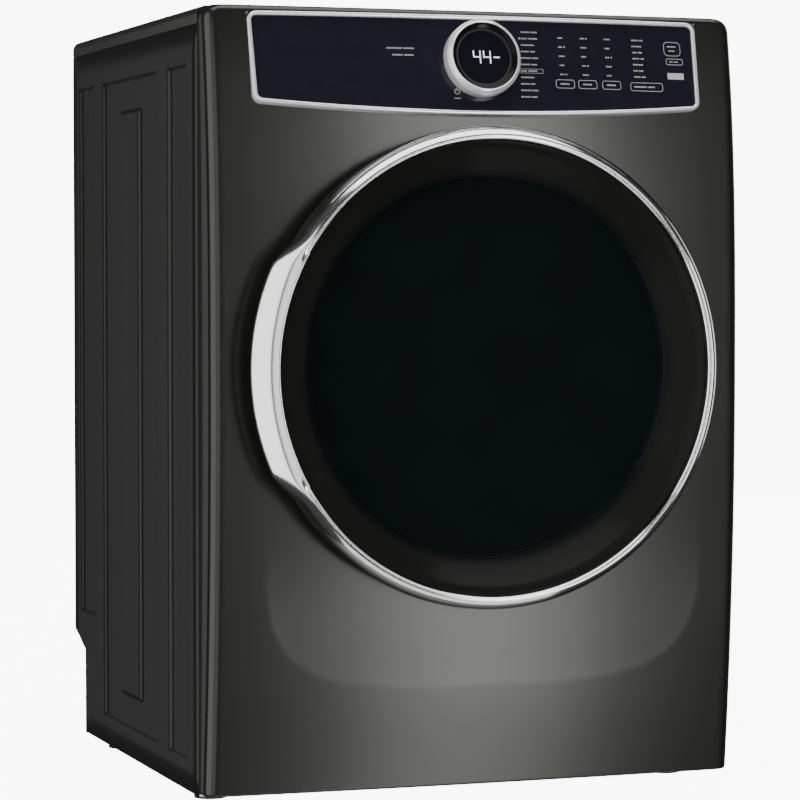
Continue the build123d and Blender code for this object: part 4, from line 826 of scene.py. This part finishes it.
def outline(inset):
    """The console's outline, drawn in by inset, as the same number of points each time."""
    top, sag, low = RIM_TOP - inset, RIM_SAG + inset, RIM_LOW + inset
    radius = max(RIM_CORNER - inset, RIM_CORNER_LEAST)
    run_top = RIM_HALF_TOP - inset - radius
    run_low = RIM_HALF_LOW - inset - radius
    arc = [math.pi / 2 * i / RIM_CORNER_STEPS for i in range(RIM_CORNER_STEPS + 1)]
    right = [(run_top + radius * math.sin(a), top - radius + radius * math.cos(a)) for a in arc]
    right += [(run_low + radius * math.cos(a), low + radius - radius * math.sin(a)) for a in arc]
    bottom = [run_low * (1 - 2 * i / RIM_RUN_STEPS) for i in range(1, RIM_RUN_STEPS)]
    base = [(x, sag + (low - sag) * (x / run_low) ** 2) for x in bottom]
    left = [(-u, v) for u, v in reversed(right)]
    crown = [(run_top * (2 * i / RIM_RUN_STEPS - 1), top) for i in range(1, RIM_RUN_STEPS)]
    return right + base + left + crown


def build_console_rim():
    """The bright rounded rim round the console."""
    rings = [[on_console(u, v, n) for u, v in outline(inset)] for inset, n in RIM]
    points = [point for ring in rings for point in ring]
    faces = grid_faces(len(rings), len(rings[0]), wrap_columns=True)
    trim = MATERIALS["rim_trim"]
    piece = make_piece("console_rim_bead", points, faces, "cabinet", trim, SHARP_TRIM)
    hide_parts("console_rim")


def build_console_face():
    """The glossy bowed face, from the rim in to the dial's hole."""
    edge = outline(RIM_WIDTH + FACE_GAP)
    rows = []
    for step in range(FACE_RINGS + 1):
        t = step / FACE_RINGS
        row = []
        for u, v in edge:
            reach = math.hypot(u, v)
            hole_u, hole_v = FACE_HOLE * u / reach, FACE_HOLE * v / reach
            row.append(on_console(u + (hole_u - u) * t, v + (hole_v - v) * t, FACE_SINK))
        rows.append(row)
    rows.append([(x, y + FACE_HOLE_LIP, z) for x, y, z in rows[-1]])
    points = [point for row in rows for point in row]
    faces = grid_faces(len(rows), len(edge), wrap_columns=True)
    gloss = MATERIALS["console_gloss"]
    piece = make_piece("console_glass", points, faces, "cabinet", gloss, SHARP_FACE)
    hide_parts("console_face")


build_console_rim()
build_console_face()


# ---------------------------------------------------------------- printed marks

class Print:
    """Collects flat marks on the console and makes them into one piece."""

    def __init__(self, lift):
        self.lift = lift
        self.points, self.faces = [], []

    def patch(self, corners):
        """A filled shape."""
        start = len(self.points)
        self.points += [on_console(u, v, self.lift) for u, v in corners]
        self.faces.append(tuple(range(start, start + len(corners))))

    def bar(self, u, v, width, height):
        """A filled bar from its left end, centred on v."""
        low, top = v - height / 2, v + height / 2
        self.patch([(u, low), (u + width, low), (u + width, top), (u, top)])

    def words(self, u, v, lengths, height):
        """Rows of small blocks that stand for printed words, with no letters in them."""
        for length in lengths:
            for block in range(round(length / BLOCK_PITCH)):
                rise = BLOCK_RISES[(block * BLOCK_STRIDE + round(length)) % len(BLOCK_RISES)]
                self.bar(u, v, BLOCK_WIDTH, height * (BLOCK_SHORTEST + (1 - BLOCK_SHORTEST) * rise))
                u += BLOCK_PITCH
            u += WORD_GAP

    def key(self, u, v, width, height, line=KEY_LINE):
        """An outlined key, centred on its place."""
        radius = min(width, height) * KEY_ROUNDING
        outer = rounded_box(u, v, width / 2 - radius, height / 2 - radius, radius)
        inner = rounded_box(u, v, width / 2 - radius, height / 2 - radius, radius - line)
        for i in range(len(outer)):
            j = (i + 1) % len(outer)
            self.patch([outer[i], outer[j], inner[j], inner[i]])

    def finish(self, name, material):
        """The piece that all the marks make."""
        return make_piece(name, self.points, self.faces, "cabinet", material)


def rounded_box(u, v, flat_u, flat_v, radius):
    """Points round a box whose corners are centred flat_u and flat_v from its middle."""
    corners = []
    for turn, (side_u, side_v) in enumerate(((1, 1), (-1, 1), (-1, -1), (1, -1))):
        for i in range(KEY_CORNER_POINTS):
            a = math.pi / 2 * (turn + i / (KEY_CORNER_POINTS - 1))
            across = side_u * flat_u + radius * math.cos(a)
            up = side_v * flat_v + radius * math.sin(a)
            corners.append((u + across, v + up))
    return corners


def print_cycles(marks):
    """The cycles beside the dial, one of them boxed and one with a pointer."""
    for row in range(CYCLE_ROWS):
        words = CYCLE_WORDS[row % len(CYCLE_WORDS)]
        marks.words(CYCLE_U - row * CYCLE_DRIFT, CYCLE_TOP - row * CYCLE_STEP, words, LIST_HEIGHT)
    box_u, box_width, box_height = CYCLE_BOX
    marks.key(box_u, CYCLE_TOP - BOXED_ROW * CYCLE_STEP, box_width, box_height, THIN_LINE)
    v = CYCLE_TOP - CYCLE_STEP
    marks.patch([(POINTER_TIP, v), (POINTER_BACK, v - POINTER_HALF), (POINTER_BACK, v + POINTER_HALF)])


def print_options(marks):
    """The option columns with their keys, and the list beside them."""
    for column, u in enumerate(OPTION_COLUMNS):
        for row in range(OPTION_ROWS):
            words = OPTION_WORDS[(row + column) % len(OPTION_WORDS)]
            marks.words(u, OPTION_TOP - row * OPTION_STEP, words, LIST_HEIGHT)
        marks.key(u + OPTION_KEY_SHIFT, OPTION_KEY_V, *OPTION_KEY_SIZE)
        marks.words(u + OPTION_LABEL_SHIFT, OPTION_KEY_V, OPTION_LABEL, LABEL_HEIGHT)
    for row in range(LIST_ROWS):
        marks.words(LIST_U, OPTION_TOP - row * LIST_STEP, LIST_WORDS[row % len(LIST_WORDS)], LIST_HEIGHT)


def print_power(marks):
    """The power symbol."""
    centre_u, centre_v = POWER_CENTRE
    outer, inner = POWER_RADII
    for start in range(POWER_GAP, 360 - POWER_GAP, POWER_STEP):
        first, last = math.radians(start + 90), math.radians(start + 90 + POWER_STEP)
        corners = ((outer, first), (outer, last), (inner, last), (inner, first))
        marks.patch([(centre_u + r * math.cos(a), centre_v + r * math.sin(a)) for r, a in corners])
    marks.bar(*POWER_BAR)


def print_console():
    """Cycle, option and key marks, as bars and outlines with no lettering."""
    marks = Print(MARK_LIFT)
    print_cycles(marks)
    print_options(marks)
    print_power(marks)
    for key in KEYS:
        marks.key(*key)
    for label in LABELS:
        marks.words(*label)
    marks.bar(*FILLED_KEY)
    marks.finish("console_marks", MATERIALS["printed_white"])


def print_display():
    """The remaining time on the dial's display, as plain segment digits."""
    digits = Print(DIGIT_LIFT)
    for u, strokes in DIGITS:
        for across, up, upright in strokes:
            centre = u + across * DIGIT_WIDTH
            v = up * DIGIT_HEIGHT / 2
            width, height = (STROKE, DIGIT_HEIGHT / 2) if upright else (DIGIT_WIDTH, STROKE)
            digits.bar(centre - width / 2, v, width, height)
    digits.finish("display_digits", digit_material())


print_console()


# ---------------------------------------------------------------- dial

def build_dial():
    """The dial's bright ring, and the black inset between it and the display."""
    trim, black = MATERIALS["rim_trim"], MATERIALS["gloss_black"]
    ring = turned_piece("dial_ring", DIAL_RING, DIAL_SEGMENTS, on_dial, "dial", trim)
    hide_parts("program_dial")
    inset = turned_piece("dial_inset", DIAL_INSET, DIAL_SEGMENTS, on_dial, "dial", black)
    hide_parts("program_dial")


build_dial()
print_display()


# ---------------------------------------------------------------- idler spring

def hook(centre_z, first, last):
    """One open loop at a spring's end, from one angle to another."""
    points = []
    for i in range(HOOK_STEPS + 1):
        angle = math.radians(first + (last - first) * i / HOOK_STEPS)
        across, up = HOOK_RADIUS * math.cos(angle), HOOK_RADIUS * math.sin(angle)
        points.append(Vector((SPRING_X + across, SPRING_Y, centre_z + up)))
    return points


def spring_path():
    """The middle of the wire, from the lower hook through the coil to the upper hook."""
    steps = SPRING_TURNS * STEPS_PER_TURN
    coil = []
    for i in range(steps + 1):
        angle = 2 * math.pi * SPRING_TURNS * i / steps
        x = SPRING_X + SPRING_RADIUS * math.cos(angle)
        y = SPRING_Y + SPRING_RADIUS * math.sin(angle)
        coil.append(Vector((x, y, SPRING_LOW + (SPRING_TOP - SPRING_LOW) * i / steps)))
    return hook(LOW_HOOK_Z, -HOOK_OPEN, HOOK_JOIN) + coil + hook(TOP_HOOK_Z, -HOOK_JOIN, HOOK_OPEN)


def build_spring():
    """The idler's spring, a fixed coil between the base and the arm."""
    path = spring_path()
    points = []
    side = Vector((0, 1, 0))
    for before, here, after in zip([path[0]] + path, path, path[1:] + [path[-1]]):
        along = (after - before).normalized()
        side = (side - along * side.dot(along)).normalized()
        lift = along.cross(side)
        for i in range(WIRE_SIDES):
            angle = 2 * math.pi * i / WIRE_SIDES
            points.append(here + (side * math.cos(angle) + lift * math.sin(angle)) * WIRE_RADIUS)
    faces = grid_faces(len(path), WIRE_SIDES, wrap_columns=True)
    faces += [tuple(range(WIRE_SIDES)), tuple(reversed(range(len(points) - WIRE_SIDES, len(points))))]
    piece = make_piece("idler_spring_wire", points, faces, None, MATERIALS["bright_steel"])
    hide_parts("idler_spring")
    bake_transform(piece)


build_spring()


# ---------------------------------------------------------------- stage, light and camera

def build_floor():
    """A plain floor that curves up into a round backdrop, white to the camera and casting no light."""
    curve = [(FLOOR_CENTRE, 0)]
    for i in range(BEND_STEPS + 1):
        angle = math.pi / 2 * i / BEND_STEPS
        curve.append((FLOOR_RADIUS + BACKDROP_BEND * math.sin(angle), BACKDROP_BEND * (1 - math.cos(angle))))
    curve.append((FLOOR_RADIUS + BACKDROP_BEND, BACKDROP_TOP))
    faces = grid_faces(FLOOR_SEGMENTS, len(curve), wrap_rows=True)
    points = turn_points(curve, FLOOR_SEGMENTS, on_floor)
    floor = add_object("floor", new_mesh("floor", points, faces, floor_material()))
    floor.visible_glossy = False
    floor.visible_shadow = False
    floor.visible_diffuse = False


def add_light(name, place, aim, size, power):
    """A rectangular soft light."""
    light = bpy.data.lights.new(name, "AREA")
    light.shape = "RECTANGLE"
    light.size, light.size_y = size
    light.energy = power
    lamp = add_object(name, light)
    lamp.location = place
    lamp.rotation_euler = (Vector(aim) - Vector(place)).to_track_quat("-Z", "Y").to_euler()


def set_world():
    """An even white surround."""
    world = bpy.data.worlds.new("studio")
    world.use_nodes = True
    background = world.node_tree.nodes["Background"]
    background.inputs["Color"].default_value = WHITE
    background.inputs["Strength"].default_value = SURROUND
    bpy.context.scene.world = world


def set_camera():
    """The photograph's viewpoint."""
    data = bpy.data.cameras.new("camera")
    data.lens = CAMERA_LENS
    data.sensor_width = CAMERA_SENSOR
    camera = add_object("camera", data)
    camera.location = CAMERA_PLACE
    camera.rotation_euler = (math.radians(90 - CAMERA_DOWN), 0, -math.radians(CAMERA_TURN))
    bpy.context.scene.camera = camera


build_floor()
set_world()
set_camera()
for row in LIGHTS:
    add_light(*row)

bpy.context.view_layer.update()
